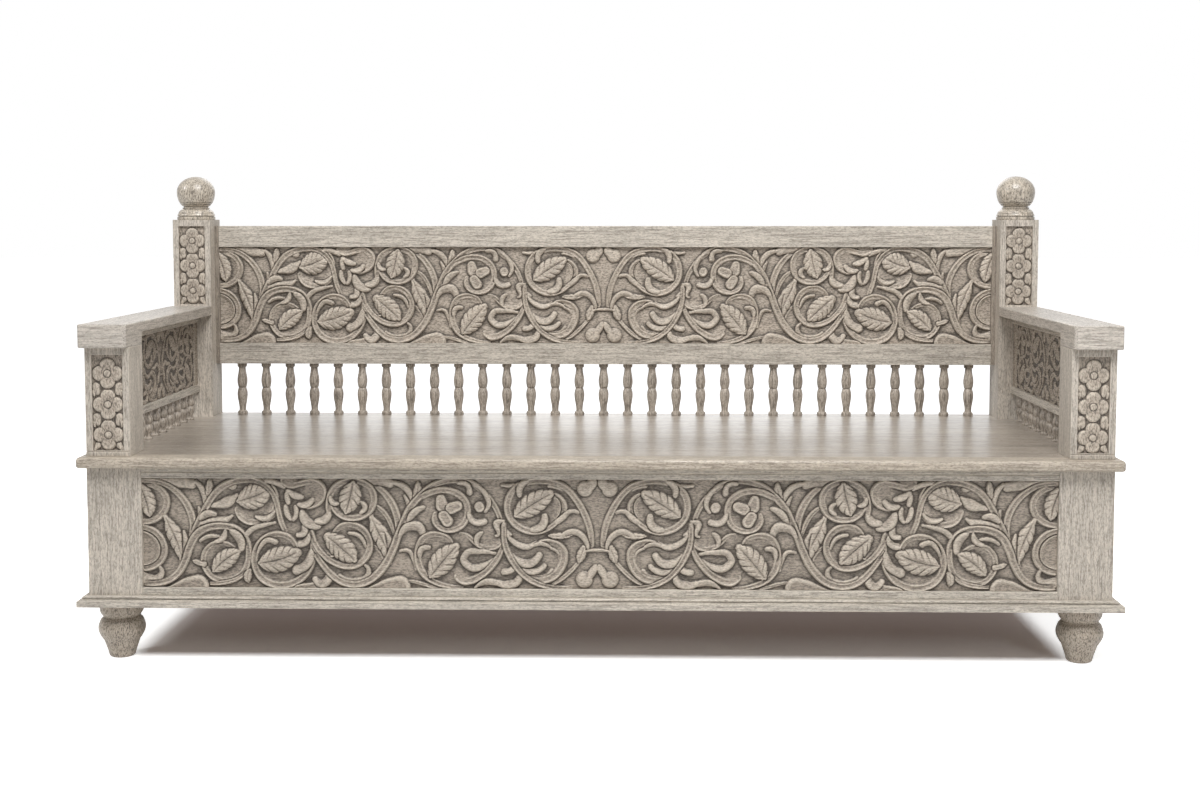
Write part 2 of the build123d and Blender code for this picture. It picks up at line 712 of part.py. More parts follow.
def side_rail(z0, z1):
    """A rail of the right side frame with a tenon at each end and its panel groove."""
    rail = Block(side_frame_x, side_frame_outer, post_back, rear_post_front, z0, z1).solid()
    for tenon in side_rail_tenons(z0, z1):
        rail += tenon.solid()
    return rail - groove_along_y(side_tongue)


side_lower_rail = side_rail(side_rail_bottom, side_panel_bottom)
rail_pin_depth = side_lower_rail_height - groove_depth - 2 * end_gap
for y in side_spindle_places:
    side_lower_rail -= pin_hole(side_middle_x, y, side_rail_bottom, side_rail_bottom + rail_pin_depth)
write_pair("side_lower_rail", side_lower_rail)
write_pair("side_top_rail", side_rail(side_panel_top, side_frame_top))
write_pair("side_carved_panel", panel_along_y(side_panel_show, side_tongue))


# ---------------------------------------------------------------- turned spindles

def spindle(length, upper_pin):
    """A double-vase spindle between two collars, with a pin at each end. Its foot is at height 0."""
    wide, neck, pin = spindle_radius, spindle_neck_radius, spindle_pin_radius
    collar = wide * 0.93
    foot_collar, ankle = (collar, length * 0.07), (neck, length * 0.10)
    waist = (neck * 1.1, length * 0.525)
    throat, cap_collar = (neck, length * 0.915), (collar, length * 0.93)
    lower = bulge([ankle, (wide, length * 0.40), waist], [(0.12, 1), (-1, 0.6)])
    upper = bulge([waist, (wide, length * 0.66), throat], [(1, 0.6), (-0.12, 1)])
    foot = stations((0, -spindle_pin_length), (pin, -spindle_pin_length), (pin, 0), (collar, 0),
                    (wide, length * 0.035), foot_collar, ankle)
    cap = stations(throat, cap_collar, (collar, length), (pin, length), (pin, length + upper_pin),
                   (0, length + upper_pin), (0, -spindle_pin_length))
    return turned(foot + lower + upper + cap)


side_spindle = spindle(side_spindle_length, rail_pin_depth - end_gap)
side_row = Compound(children=[Pos(side_middle_x, y, seat_top) * side_spindle for y in side_spindle_places])
write_pair("side_spindles", side_row)

back_spindle = spindle(back_spindle_length, spindle_pin_length)
write("back_spindles", Compound(children=[Pos(x, back_middle_y, seat_top) * back_spindle
                                          for x in back_spindle_places]))

# ---------------------------------------------------------------- back: posts, finials and frame

def finial_outline():
    """Flattened ball on a ringed neck over a rounded base, with a spigot below. Its base is at height 0."""
    wide, neck, spigot = finial_radius, finial_neck_radius, finial_spigot_radius
    base_edge = (wide, finial_base_height * 0.26)
    base_top = (neck, finial_base_height)
    ball_foot = (neck, finial_base_height + finial_height * 0.04)
    base = bulge([base_edge, base_top], [(0, 1), (-1, 0.25)])
    ball = bulge([ball_foot, (wide, finial_height * 0.64), (0, finial_height)], [(0.9, 0.75), (-1, 0)])
    foot = stations((0, -finial_spigot_length), (spigot, -finial_spigot_length), (spigot, 0), (wide, 0),
                    base_edge)
    return (foot + base + stations(base_top, ball_foot) + ball
            + stations((0, finial_height), (0, -finial_spigot_length)))


write_pair("finial", Pos(post_x, rear_post_y, post_top) * turned(finial_outline()))

back_stile = Block(back_stile_inner, back_stile_outer, back_frame_y, back_frame_back,
                   back_rail_bottom, back_frame_top)
back_post = Block(post_inner, body_half, rear_post_front, body_back, seat_top, post_top).solid()
back_post += rear_foot_tenon.solid()
back_post -= carved_field(rear_post_front, arm_top + field_sill, post_top - field_head)
back_post -= upright(post_x, rear_post_y, post_top - finial_spigot_length - end_gap, post_top,
                     finial_spigot_radius + cheek_gap)
back_post -= back_stile.grown(x=cheek_gap, y=cheek_gap).solid()
back_post -= groove_along_y(side_tongue)
back_post -= socket(arm_rear_tenon, "y")
for tenon in side_tenons[1::2]:
    back_post -= socket(tenon, "y")
write_pair("back_post", back_post)


def back_rail(z0, z1, tenon_low, tenon_high):
    """A rail of the back frame with a tenon at each end, behind its panel groove."""
    rail = Block(-back_stile_inner, back_stile_inner, back_frame_y, back_frame_back, z0, z1).solid()
    tenon = back_rail_tenon(tenon_low, tenon_high).solid()
    return rail + tenon + mirror(tenon, about=mirror_x) - groove_along_x(back_tongue)


def back_rail_tenon(low, high):
    """Tenon at the right end of a back rail, as long as the stile's shown edge and half its housing."""
    length = back_stile_show + back_stile_housing / 2
    return Block(back_stile_inner, back_stile_inner + length,
                 back_tongue.y1 + cheek_gap + tenon_shoulder, back_frame_back - tenon_shoulder, low, high)


top_tenon_levels = (back_panel_top + groove_depth, back_frame_top - 2 * tenon_shoulder)
bottom_tenon_levels = (back_rail_bottom + 2 * tenon_shoulder, back_panel_bottom - groove_depth)
stile = back_stile.solid() - groove_along_x(back_tongue)
for levels in (top_tenon_levels, bottom_tenon_levels):
    stile -= socket(back_rail_tenon(*levels), "x")
write_pair("back_stile", stile)

back_bottom_rail = back_rail(back_rail_bottom, back_panel_bottom, *bottom_tenon_levels)
for x in back_spindle_places:
    back_bottom_rail -= pin_hole(x, back_middle_y, back_rail_bottom,
                                 back_rail_bottom + spindle_pin_length + end_gap)
write("back_bottom_rail", back_bottom_rail)
write("back_top_rail", back_rail(back_panel_top, back_frame_top, *top_tenon_levels))
write("back_carved_panel", carved_panel_along_x(back_panel_show, back_tongue))
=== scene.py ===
"""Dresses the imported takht: carved panels, turned spindles, feet and finials, and weathered wood.

Metres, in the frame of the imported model: X runs along the bench, Y from front to back, Z up.
Drawings of carving are in millimetres and are turned into metres where a piece is placed.
"""
import logging
import math
from dataclasses import dataclass, field
from enum import Enum

import bpy
import numpy as np
from mathutils import Matrix, Vector


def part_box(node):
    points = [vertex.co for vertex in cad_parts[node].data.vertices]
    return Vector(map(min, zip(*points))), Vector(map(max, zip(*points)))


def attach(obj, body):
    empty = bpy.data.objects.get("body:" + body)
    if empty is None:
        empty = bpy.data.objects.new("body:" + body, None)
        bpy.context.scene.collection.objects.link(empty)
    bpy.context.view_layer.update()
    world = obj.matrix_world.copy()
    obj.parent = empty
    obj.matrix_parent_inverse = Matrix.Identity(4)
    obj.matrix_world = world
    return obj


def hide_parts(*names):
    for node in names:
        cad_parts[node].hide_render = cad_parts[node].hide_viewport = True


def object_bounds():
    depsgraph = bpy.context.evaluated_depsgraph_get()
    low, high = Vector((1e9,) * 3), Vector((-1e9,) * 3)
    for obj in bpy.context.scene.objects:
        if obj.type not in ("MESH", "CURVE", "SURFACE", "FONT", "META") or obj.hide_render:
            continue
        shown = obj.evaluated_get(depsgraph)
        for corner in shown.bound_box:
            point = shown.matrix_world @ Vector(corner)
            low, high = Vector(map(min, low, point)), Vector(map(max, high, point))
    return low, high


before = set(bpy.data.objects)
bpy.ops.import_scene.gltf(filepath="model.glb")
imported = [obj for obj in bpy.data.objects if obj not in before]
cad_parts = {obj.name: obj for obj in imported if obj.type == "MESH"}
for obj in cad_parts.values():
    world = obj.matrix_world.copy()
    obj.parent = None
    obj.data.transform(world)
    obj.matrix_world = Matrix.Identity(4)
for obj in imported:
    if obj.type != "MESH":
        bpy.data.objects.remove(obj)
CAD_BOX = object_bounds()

LOG = logging.getLogger("takht")
BODY = "root"
MM = 0.001
Array = np.ndarray
Socket = bpy.types.NodeSocket
Colour = tuple[float, float, float]
Tone = tuple[float, float, float, float]
Value = Socket | float | tuple[float, ...]
WHITE: Tone = (1.0, 1.0, 1.0, 1.0)


# ---------------------------------------------------------------- drawings

class Cut(Enum):
    """How a stroke of the carver's drawing stands out of the ground."""

    RIB = "rib"          # a stem whose crest runs along the outside of its curl
    LOBE = "lobe"        # a rounded, fluted lobe
    LEAF = "leaf"        # a leaf with a midrib and slanting cuts from its margin
    PETAL = "petal"      # a scooped petal with a raised rim
    FLOWER = "flower"    # four petals round a button; its path is one point, its widths the three radii


@dataclass(frozen=True)
class Stroke:
    """One stroke of a drawing: x, y pairs in millimetres, and half widths spread evenly along it."""

    cut: Cut
    path: tuple[float, ...]
    widths: tuple[float, ...]


DRAWING_WIDTH = 925.0     # half of a long panel
DRAWING_HEIGHT = 225.0
DRAWING_DEPTH = 9.0
RIB_SPREAD = 1.22         # a rib's whole width over its drawn width
RIB_SHIFT = 0.40          # how far a curled rib moves inwards, in drawn half widths
LOBE_SPREAD = 1.12        # a lobe's whole width over its drawn width
SHORTEST_CHORD = 1e-6     # added to lengths that others are divided by
SHORTEST_STEP = 1e-9
ENDS = {Cut.RIB: 16.0, Cut.LOBE: 6.0}                    # how far a stroke's ends grow out of what they meet
HOLLOW_BLURS = ((1.4, 1.3), (4.0, 0.75), (9.0, 0.45))    # spreads in cells, and weights, of the hollow measure behind the stain with painted shade and the rubbed wear with painted highlight

RIB, LOBE, LEAF, PETAL = Cut.RIB, Cut.LOBE, Cut.LEAF, Cut.PETAL

# The left half of the scroll drawing, with its origin at the lower left corner.
# fmt: off
SCROLLWORK: tuple[Stroke, ...] = tuple(Stroke(*row) for row in (
    (LOBE, (-3, 217, 21, 220, 53, 218, 79, 215, 102, 212), (4.3, 4.3, 6, 10.3, 8.6)),
    (RIB, (-5, 214, 17, 212, 37, 203, 51, 180, 47, 158, 33, 142, 13, 134, -7, 133), (5.2, 5.6, 6, 6, 5.2)),
    (LEAF, (-6, 210, 8, 178, 14, 146), (4.3, 18.9, 2.6)),
    (RIB, (-7, 125, 15, 120, 36, 104, 45, 81, 39, 56, 23, 42, -7, 37), (5.2, 5.6, 6, 6, 5.2)),
    (RIB, (-7, 113, 11, 109, 25, 97, 32, 81, 28, 60, 15, 50, -7, 46), (2.1, 2.6, 3, 3, 2.1)),
    (LOBE, (-11, 28, 5, 17, 25, 15, 36, 27, 33, 41), (9.5, 10.3, 9.5, 6, 3)),
    (RIB, (0, 219, 33, 218, 63, 203, 89, 174, 103, 138, 103, 113, 95, 85), (4.7, 5.2, 6, 6.5, 6)),
    (LOBE, (55, 133, 73, 101, 78, 72, 73, 36), (2.1, 5.2, 6, 2.6)),
    (LEAF, (46, 146, 59, 119, 71, 91, 80, 52), (3.4, 16.3, 14.6, 4.3)),
    (LOBE, (83, 115, 87, 85, 82, 52), (1.7, 6, 2.1)),
    (LOBE, (128, 163, 128, 186, 120, 205, 110, 216), (3.9, 6, 6, 3.4)),
    (LEAF, (134, 188, 137, 207, 138, 222), (2.6, 7.7, 1.3)),
    (LOBE, (114, 149, 116, 158, 114, 165), (1.7, 3.4, 1.3)),
    (RIB, (250, 144, 270, 158, 274, 182, 265, 208, 241, 221), (4.3, 5.2, 5.2, 4.3)),
    (RIB, (191, 160, 197, 146, 213, 134, 233, 133, 254, 138, 268, 149), (3.9, 5.2, 6, 5.6, 4.3)),
    (LOBE, (231, 146, 250, 142, 268, 154), (2.1, 5.2, 2.6)),
    (LEAF, (196, 178, 225, 186, 258, 202), (5.2, 26.7, 6.9)),
    (LOBE, (130, 168, 149, 169, 173, 175, 193, 190), (2.1, 6, 11.2, 2.6)),
    (LOBE, (145, 194, 165, 207, 185, 208), (3, 4.3, 6.9)),
    (RIB, (101, 104, 111, 129, 127, 158, 139, 182, 161, 207, 197, 221, 233, 221, 258, 206, 274, 178, 279, 146, 290,
        116), (5.6, 6.5, 6, 6, 6.5, 6, 5.2, 4.7, 5.2, 3.9)),
    (LOBE, (118, 140, 137, 151, 146, 149), (2.6, 7.7, 5.2)),
    (LOBE, (119, 131, 145, 135, 165, 137, 182, 146), (2.6, 7.7, 8.6, 2.1)),
    (RIB, (0, 7, 33, 7, 59, 16, 78, 36, 90, 68, 100, 97, 114, 115, 141, 126, 175, 126, 201, 115, 215, 89, 216, 56,
        205, 29, 181, 14, 153, 13, 132, 28, 121, 52, 127, 76, 145, 91, 169, 91, 186, 81), (5.2, 5.6, 6.5, 6.9, 7.3,
        6.9, 6.5, 6, 6, 6, 5.6, 5.2, 4.7, 4.3, 3.4)),
    (LEAF, (144, 33, 167, 56, 196, 73), (3.4, 19.8, 4.3)),
    (LOBE, (117, 95, 133, 104, 157, 103), (2.6, 3.9, 2.1)),
    (LOBE, (148, 94, 165, 104, 168, 117), (2.6, 6, 2.1)),
    (LOBE, (181, 115, 198, 99, 201, 80), (4.3, 8.6, 6)),
    (LEAF, (124, 47, 113, 50, 102, 54), (6, 5.2, 1.3)),
    (RIB, (132, 7, 165, 9, 191, 16, 212, 34), (3, 3.9, 3.9, 2.6)),
    (LEAF, (218, 35, 213, 24, 215, 10), (3.4, 8.6, 1.7)),
    (PETAL, (50, -2, 73, -2, 95, 0, 111, 2), (1.7, 12, 20.6, 23.2)),
    (LOBE, (212, 108, 223, 119, 250, 129, 270, 133), (5.2, 5.2, 4.3, 2.1)),
    (RIB, (312, 64, 314, 83, 300, 104, 274, 111, 247, 101, 229, 76, 227, 44, 242, 16, 274, 3, 306, 7, 330, 23, 345,
        52, 349, 81, 346, 109, 334, 133, 324, 160), (3.9, 4.7, 5.6, 6, 6, 6.5, 6.5, 6.5, 6.5, 6.5, 6, 5.2, 3.9)),
    (LEAF, (238, 50, 276, 57, 313, 72), (4.3, 26.7, 11.2)),
    (LOBE, (270, 93, 254, 97, 241, 85, 235, 72), (5.2, 5.2, 4.3, 2.1)),
    (LOBE, (344, 76, 336, 50, 314, 36), (3.4, 8.6, 9.5)),
    (LOBE, (337, 108, 332, 94, 321, 90), (3.4, 6.9, 6.9)),
    (LOBE, (326, 149, 331, 126, 329, 112, 317, 108), (2.6, 5.2, 6.9, 4.3)),
    (LOBE, (254, 219, 278, 213, 290, 207), (4.3, 5.2, 3.4)),
    (PETAL, (309, -2, 334, -1, 354, 2), (1.7, 10.3, 12.9)),
    (RIB, (287, 218, 294, 211, 306, 208, 319, 212, 332, 218, 348, 221, 362, 214, 370, 201, 370, 189, 360, 175, 344,
        167, 326, 165), (6.5, 6, 5.2, 5.6, 6, 6.9, 7.7, 8.2, 7.7, 6.5, 5.2, 3)),
    (LOBE, (298, 198, 310, 190, 326, 186), (5.2, 6.5, 3.4)),
    (LOBE, (319, 171, 336, 171, 347, 181), (3.4, 6.5, 3.9)),
    (LOBE, (295, 193, 296, 184, 298, 175), (3.9, 5.2, 4.3)),
    (LOBE, (293, 167, 295, 153, 302, 141), (3.9, 5.2, 3.4)),
    (LOBE, (312, 166, 314, 153, 308, 140), (3.4, 5.2, 3.4)),
    (LOBE, (326, 156, 336, 135, 358, 127), (4.3, 9.5, 6)),
    (LOBE, (380, 155, 375, 143, 355, 137), (3.9, 7.7, 4.3)),
    (RIB, (346, 93, 358, 72, 374, 64, 390, 68, 395, 83), (4.3, 5.2, 5.2, 4.7, 2.6)),
    (LOBE, (374, 41, 379, 20, 365, 7, 351, 17), (4.3, 7.7, 8.6, 5.2)),
    (RIB, (438, 221, 470, 215, 501, 187, 519, 150, 523, 121, 516, 89), (3.9, 5.2, 6.5, 6.5, 5.6)),
    (RIB, (470, 172, 491, 158, 506, 133, 513, 108), (2.1, 3.9, 3.9, 2.1)),
    (RIB, (467, 89, 486, 74, 494, 52, 483, 25), (2.6, 3.4, 3.4, 2.6)),
    (LEAF, (466, 149, 479, 119, 494, 89, 503, 52), (3.4, 18.9, 15.5, 4.3)),
    (LOBE, (496, 115, 505, 85, 501, 56), (1.7, 6, 2.1)),
    (LOBE, (452, 220, 479, 221, 505, 215), (5.2, 9.5, 8.6)),
    (LOBE, (401, 25, 430, 11, 456, 20, 459, 40, 452, 47), (2.6, 6.9, 8.6, 5.2, 2.1)),
    (RIB, (390, 112, 405, 128, 430, 131, 453, 118, 465, 92, 458, 64, 438, 46, 411, 43, 382, 55, 359, 76, 347, 99),
        (4.3, 5.2, 6, 6, 6, 6, 5.6, 5.2, 5.2, 4.7)),
    (LEAF, (379, 104, 404, 83, 432, 57), (10.3, 24.1, 6)),
    (LOBE, (421, 112, 442, 106, 454, 85), (2.6, 3.9, 2.1)),
    (RIB, (381, 149, 379, 178, 390, 206, 414, 220, 443, 221, 467, 206, 474, 180, 463, 155, 434, 142, 407, 146, 388,
        165, 387, 180), (4.3, 5.6, 6, 6, 6, 6, 6, 6, 5.6, 4.7, 3.4)),
    (LEAF, (430, 216, 424, 186, 415, 155), (6, 23.2, 4.3)),
    (LOBE, (384, 187, 388, 176, 399, 173), (2.6, 5.2, 2.6)),
    (LOBE, (446, 176, 454, 165, 445, 155), (2.1, 5.2, 2.6)),
    (LOBE, (550, 168, 547, 190, 532, 209, 511, 216), (3.4, 6, 6, 3.9)),
    (LOBE, (544, 149, 542, 174, 534, 190), (2.1, 4.3, 1.7)),
    (LEAF, (554, 180, 561, 201, 562, 218), (3.4, 8.6, 1.7)),
    (RIB, (350, 72, 369, 44, 390, 20, 418, 6, 450, 8, 479, 27, 501, 58, 515, 93, 529, 129, 547, 168, 570, 194, 598,
        215, 639, 223, 671, 217, 697, 196, 717, 170, 730, 138), (4.7, 5.6, 6, 6.5, 6.9, 7.3, 7.3, 6.9, 6.5, 6.5,
        6.5, 6, 5.6, 5.2, 5.2, 4.7, 3.9)),
    (LOBE, (542, 133, 554, 155, 574, 166), (3, 6.9, 2.6)),
    (LOBE, (525, 108, 539, 125, 562, 126, 571, 112), (3.4, 7.7, 9.5, 6)),
    (LOBE, (525, 76, 542, 76, 552, 60, 557, 39), (2.1, 3.9, 3.9, 2.6)),
    (PETAL, (458, -2, 482, -2, 506, 0, 523, 2), (1.7, 12, 20.6, 23.2)),
    (RIB, (536, 15, 562, 11, 590, 2, 623, 0), (2.1, 3, 3, 2.6)),
    (LOBE, (644, 216, 662, 212, 666, 197), (3.4, 5.2, 6)),
    (LOBE, (676, 212, 698, 194, 705, 172, 698, 159), (2.1, 4.3, 5.2, 3.4)),
    (PETAL, (686, 168, 687, 166), (9.9, 9.9)),
    (RIB, (565, 186, 581, 195, 608, 203, 635, 199, 657, 183, 664, 158, 654, 130, 630, 118, 606, 122, 593, 138, 595,
        153), (5.2, 6, 6, 6, 6, 6, 5.6, 5.2, 4.7, 4.3, 3.4)),
    (PETAL, (608, 183, 611, 169), (9.5, 12.9)),
    (PETAL, (642, 169, 629, 164), (10.3, 12)),
    (PETAL, (614, 149, 621, 138), (11.2, 12)),
    (LOBE, (665, 154, 674, 138, 696, 137), (3.4, 6, 5.6)),
    (RIB, (630, 92, 622, 105, 597, 112, 573, 106, 561, 81, 561, 48, 575, 24, 601, 9, 630, 2, 650, 2), (3.9, 4.7,
        5.6, 6, 6.5, 6.5, 6, 5.2, 3.9, 2.6)),
    (LEAF, (586, 23, 611, 55, 638, 85), (3.4, 24.1, 8.6)),
    (LOBE, (565, 63, 570, 81, 583, 83), (2.1, 5.6, 3.9)),
    (RIB, (648, 113, 664, 108, 678, 92, 702, 81, 727, 89, 735, 109), (2.6, 3.9, 4.3, 4.3, 4.3, 3.4)),
    (LOBE, (691, 114, 681, 102, 682, 89), (2.6, 5.2, 3.4)),
    (LOBE, (718, 72, 686, 76, 662, 73, 654, 59, 667, 44, 698, 47, 723, 68), (2.6, 5.2, 6, 6.9, 6.9, 6, 2.6)),
    (RIB, (735, 93, 723, 61, 702, 36, 676, 17, 652, 12, 639, 22), (3.4, 5.2, 6, 6.5, 6.9, 6)),
    (LOBE, (677, 1, 698, 13, 722, 11, 743, 5), (1.7, 6.5, 6, 2.6)),
    (LOBE, (735, 138, 723, 135, 723, 109, 719, 108), (2.6, 6.9, 4.3, 1.7)),
    (LOBE, (736, 133, 738, 117, 750, 111), (3.4, 6, 1.7)),
    (LOBE, (755, 61, 754, 41, 736, 34), (3, 6, 6)),
    (LOBE, (767, 36, 763, 15, 743, 7, 725, 11), (3.4, 7.3, 8.6, 5.6)),
    (LOBE, (742, 112, 758, 94, 782, 86, 801, 94), (2.6, 5.2, 6, 3.4)),
    (LOBE, (822, 15, 848, 44, 848, 72, 831, 83), (1.7, 4.3, 4.3, 2.1)),
    (LOBE, (770, 41, 798, 23, 820, 24, 832, 37), (2.6, 5.6, 5.6, 3.9)),
    (LOBE, (758, 52, 782, 36, 804, 37, 817, 46), (3, 6.5, 6.5, 4.7)),
    (LOBE, (743, 81, 762, 57, 790, 52, 807, 68), (3.4, 7.3, 8.2, 6)),
    (RIB, (806, 6, 838, 11, 865, 30, 888, 55), (3.4, 3.9, 3.9, 3)),
    (RIB, (774, 28, 806, 15, 835, 22, 856, 50, 859, 76, 842, 94, 818, 97, 796, 88), (4.3, 6, 7.3, 7.7, 7.3, 6.5, 6,
        3.4)),
    (RIB, (736, 133, 735, 109, 739, 83, 755, 52, 775, 27, 804, 9, 838, 2, 871, 2), (3.9, 5.2, 5.6, 5.6, 5.2, 4.7,
        4.3, 3)),
    (LOBE, (794, 87, 814, 92, 830, 85), (2.1, 4.3, 2.1)),
    (LOBE, (732, 212, 758, 212, 790, 222), (2.6, 3.4, 2.6)),
    (LOBE, (827, 210, 842, 210, 855, 204), (2.6, 5.2, 3.9)),
    (RIB, (822, 195, 845, 190, 859, 169, 854, 149, 833, 131), (3.4, 6, 7.3, 6.5, 3.4)),
    (RIB, (834, 190, 847, 178, 848, 158, 838, 142), (1.7, 3, 3, 1.7)),
    (LOBE, (838, 133, 858, 149, 868, 158, 886, 157), (4.3, 6, 4.3, 3.4)),
    (RIB, (913, 89, 912, 115, 898, 156, 879, 188, 856, 212, 822, 221, 790, 221, 759, 208, 743, 182, 743, 154, 759,
        130, 790, 116, 822, 121, 845, 138), (4.7, 5.6, 6, 5.6, 5.6, 5.6, 6, 6, 6, 6, 6, 6, 5.2, 3)),
    (LOBE, (784, 220, 770, 210, 768, 192), (3.4, 6.5, 4.7)),
    (LEAF, (759, 149, 792, 172, 829, 194), (3.4, 23.2, 9.5)),
    (LOBE, (818, 149, 815, 131, 793, 121), (5.2, 7.7, 4.3)),
    (LEAF, (827, 109, 854, 109, 878, 115), (1.7, 6.9, 3.4)),
    (LOBE, (854, 109, 881, 116, 898, 104, 905, 85), (4.3, 6, 5.6, 3.9)),
    (LEAF, (897, 85, 893, 70, 887, 55), (4.3, 9.5, 2.1)),
    (LOBE, (918, 221, 911, 213, 900, 205), (3.9, 9.9, 14.6)),
    (LOBE, (897, 76, 911, 79, 926, 79), (2.1, 2.6, 2.6)),
    (LOBE, (922, 48, 914, 33, 899, 19), (1.7, 7.3, 15.5)),
))
# fmt: on


# ---------------------------------------------------------------- carving as a height field

def blurred(heights: Array, spread: float) -> Array:
    """Softens a grid with a bell-shaped window, first down and then across.

    Args:
        heights: The grid.
        spread: Spread of the window, in cells.

    Returns:
        The softened grid, of the same size.
    """
    reach = int(math.ceil(3 * spread))
    window = np.exp(-0.5 * (np.arange(-reach, reach + 1) / spread) ** 2)
    window /= window.sum()
    down = np.pad(heights, ((reach, reach), (0, 0)), mode="edge")
    heights = sum(share * down[i:i + heights.shape[0]] for i, share in enumerate(window))
    across = np.pad(heights, ((0, 0), (reach, reach)), mode="edge")
    return sum(share * across[:, i:i + heights.shape[1]] for i, share in enumerate(window))


def bell(value: Array, middle: float, spread: float) -> Array:
    """One at the middle, falling as e to minus the square of the distance over the spread."""
    return np.exp(-((value - middle) / spread) ** 2)


@dataclass
class CarvedLine:
    """A stroke's middle line, sampled at an even pace in millimetres.

    Formula: between two drawn points the line is a cubic whose end slopes are the length-weighted means
    of the neighbouring chords, and a parabola at the two ends. A three-width stroke swells as a power of
    the sine of the share along it; others run straight from width to width and are then averaged. A rib
    is drawn along its outer ridge, so its line moves towards the inside of its curl as it widens.
    """

    stroke: Stroke
    pace: float = 0.8
    least: float = 0.6
    bend_window: int = 41
    tight: float = 40.0
    leaf_fullness: float = 0.64
    lobe_fullness: float = 0.75
    width_window: int = 12
    points: Array = field(init=False)
    half: Array = field(init=False)
    along: Array = field(init=False)
    heading: Array = field(init=False)
    lean: Array = field(init=False)

    def __post_init__(self) -> None:
        """Samples the line, its widths, its direction and how it leans with its curl."""
        self.points = self._sampled()
        steps = np.linalg.norm(np.diff(self.points, axis=0), axis=1)
        self.along = np.concatenate([[0.0], np.cumsum(steps)])
        self.half = np.maximum(self._widths(self.along / self.along[-1]), self.least)
        heading = np.gradient(self.points, axis=0)
        pace = np.linalg.norm(heading, axis=1) + SHORTEST_STEP
        self.heading = heading / pace[:, None]
        self.lean = np.tanh(-self.tight * self._bend(pace))
        if self.stroke.cut is Cut.RIB:
            left = np.stack([-self.heading[:, 1], self.heading[:, 0]], axis=1)
            self.points = self.points - left * (RIB_SHIFT * self.lean * self.half)[:, None]
            self.half = self.half * RIB_SPREAD
        elif self.stroke.cut is Cut.LOBE:
            self.half = self.half * LOBE_SPREAD

    def _sampled(self) -> Array:
        """Draws the smooth line through the drawn points.

        Returns:
            Places along it.
        """
        drawn = np.asarray(self.stroke.path, float).reshape(-1, 2)
        chord = np.diff(drawn, axis=0)
        length = np.linalg.norm(chord, axis=1) + SHORTEST_CHORD
        unit = chord / length[:, None]
        slope = np.repeat(unit[:1], len(drawn), axis=0)
        if len(drawn) > 2:
            weight = (length[:-1] + length[1:])[:, None]
            slope[1:-1] = (unit[:-1] * length[1:, None] + unit[1:] * length[:-1, None]) / weight
            slope[0] = 2 * unit[0] - slope[1]
            slope[-1] = 2 * unit[-1] - slope[-2]
        runs = [self._run(drawn[i:i + 2], slope[i:i + 2] * length[i], length[i]) for i in range(len(chord))]
        return np.vstack(runs + [drawn[-1:]])

    def _run(self, ends: Array, slopes: Array, length: float) -> Array:
        """Samples one cubic run between two drawn points.

        Args:
            ends: The two points.
            slopes: The slopes there, times the run's length.
            length: Distance between the points.

        Returns:
            The samples, without the last point.
        """
        t = np.linspace(0, 1, max(2, math.ceil(length / self.pace)), endpoint=False)[:, None]
        return ((2 * t**3 - 3 * t**2 + 1) * ends[0] + (t**3 - 2 * t**2 + t) * slopes[0]
                + (3 * t**2 - 2 * t**3) * ends[1] + (t**3 - t**2) * slopes[1])

    def _bend(self, pace: Array) -> Array:
        """How fast the direction turns along the line, averaged over neighbouring samples.

        Args:
            pace: Distance that each sample stands for.

        Returns:
            The turning at each sample, one over a radius, positive to the left.
        """
        angle = np.unwrap(np.arctan2(self.heading[:, 1], self.heading[:, 0]))
        window = np.hanning(min(self.bend_window, len(angle) // 3 * 2 + 1) + 2)[1:-1]
        turning = np.pad(np.gradient(angle) / pace, len(window) // 2, mode="edge")
        return np.convolve(turning, window / window.sum(), "valid")[:len(angle)]

    def _widths(self, share: Array) -> Array:
        """Half widths at each share of the line's length.

        Args:
            share: Shares of the length, from 0 to 1.

        Returns:
            The half widths, in millimetres.
        """
        given = self.stroke.widths
        if len(given) == 3:
            fullness = self.leaf_fullness if self.stroke.cut is Cut.LEAF else self.lobe_fullness
            swell = np.sin(np.pi * np.clip(share, 0, 1)) ** fullness
            return (given[0] + (given[2] - given[0]) * share) * (1 - swell) + given[1] * swell
        plain = np.interp(share, np.linspace(0, 1, len(given)), given)
        reach = len(plain) // self.width_window
        window = np.ones(2 * reach + 1) / (2 * reach + 1)
        return np.convolve(np.pad(plain, reach, mode="edge"), window, "valid")


@dataclass(frozen=True)
class Across:
    """Where points lie across a stroke, as signed and plain shares of its half width, with its curl there."""

    signed: Array
    share: Array
    lean: Array
    half: Array

    @property
    def outer(self) -> Array:
        """Share of the half width, positive towards the outside of the curl."""
        return self.signed * np.sign(self.lean)

    @property
    def tilt(self) -> Array:
        """How tightly the line curls, from 0 to 1."""
        return np.abs(self.lean)


@dataclass(frozen=True)
class Ridge:
    """A bell-shaped ridge along a stem, as shares: its height, its place across the stem and its spread."""

    height: float
    place: float
    spread: float

    def rise(self, outer: Array) -> Array:
        """Height of the ridge at each share towards the outside."""
        return self.height * bell(outer, self.place, self.spread)


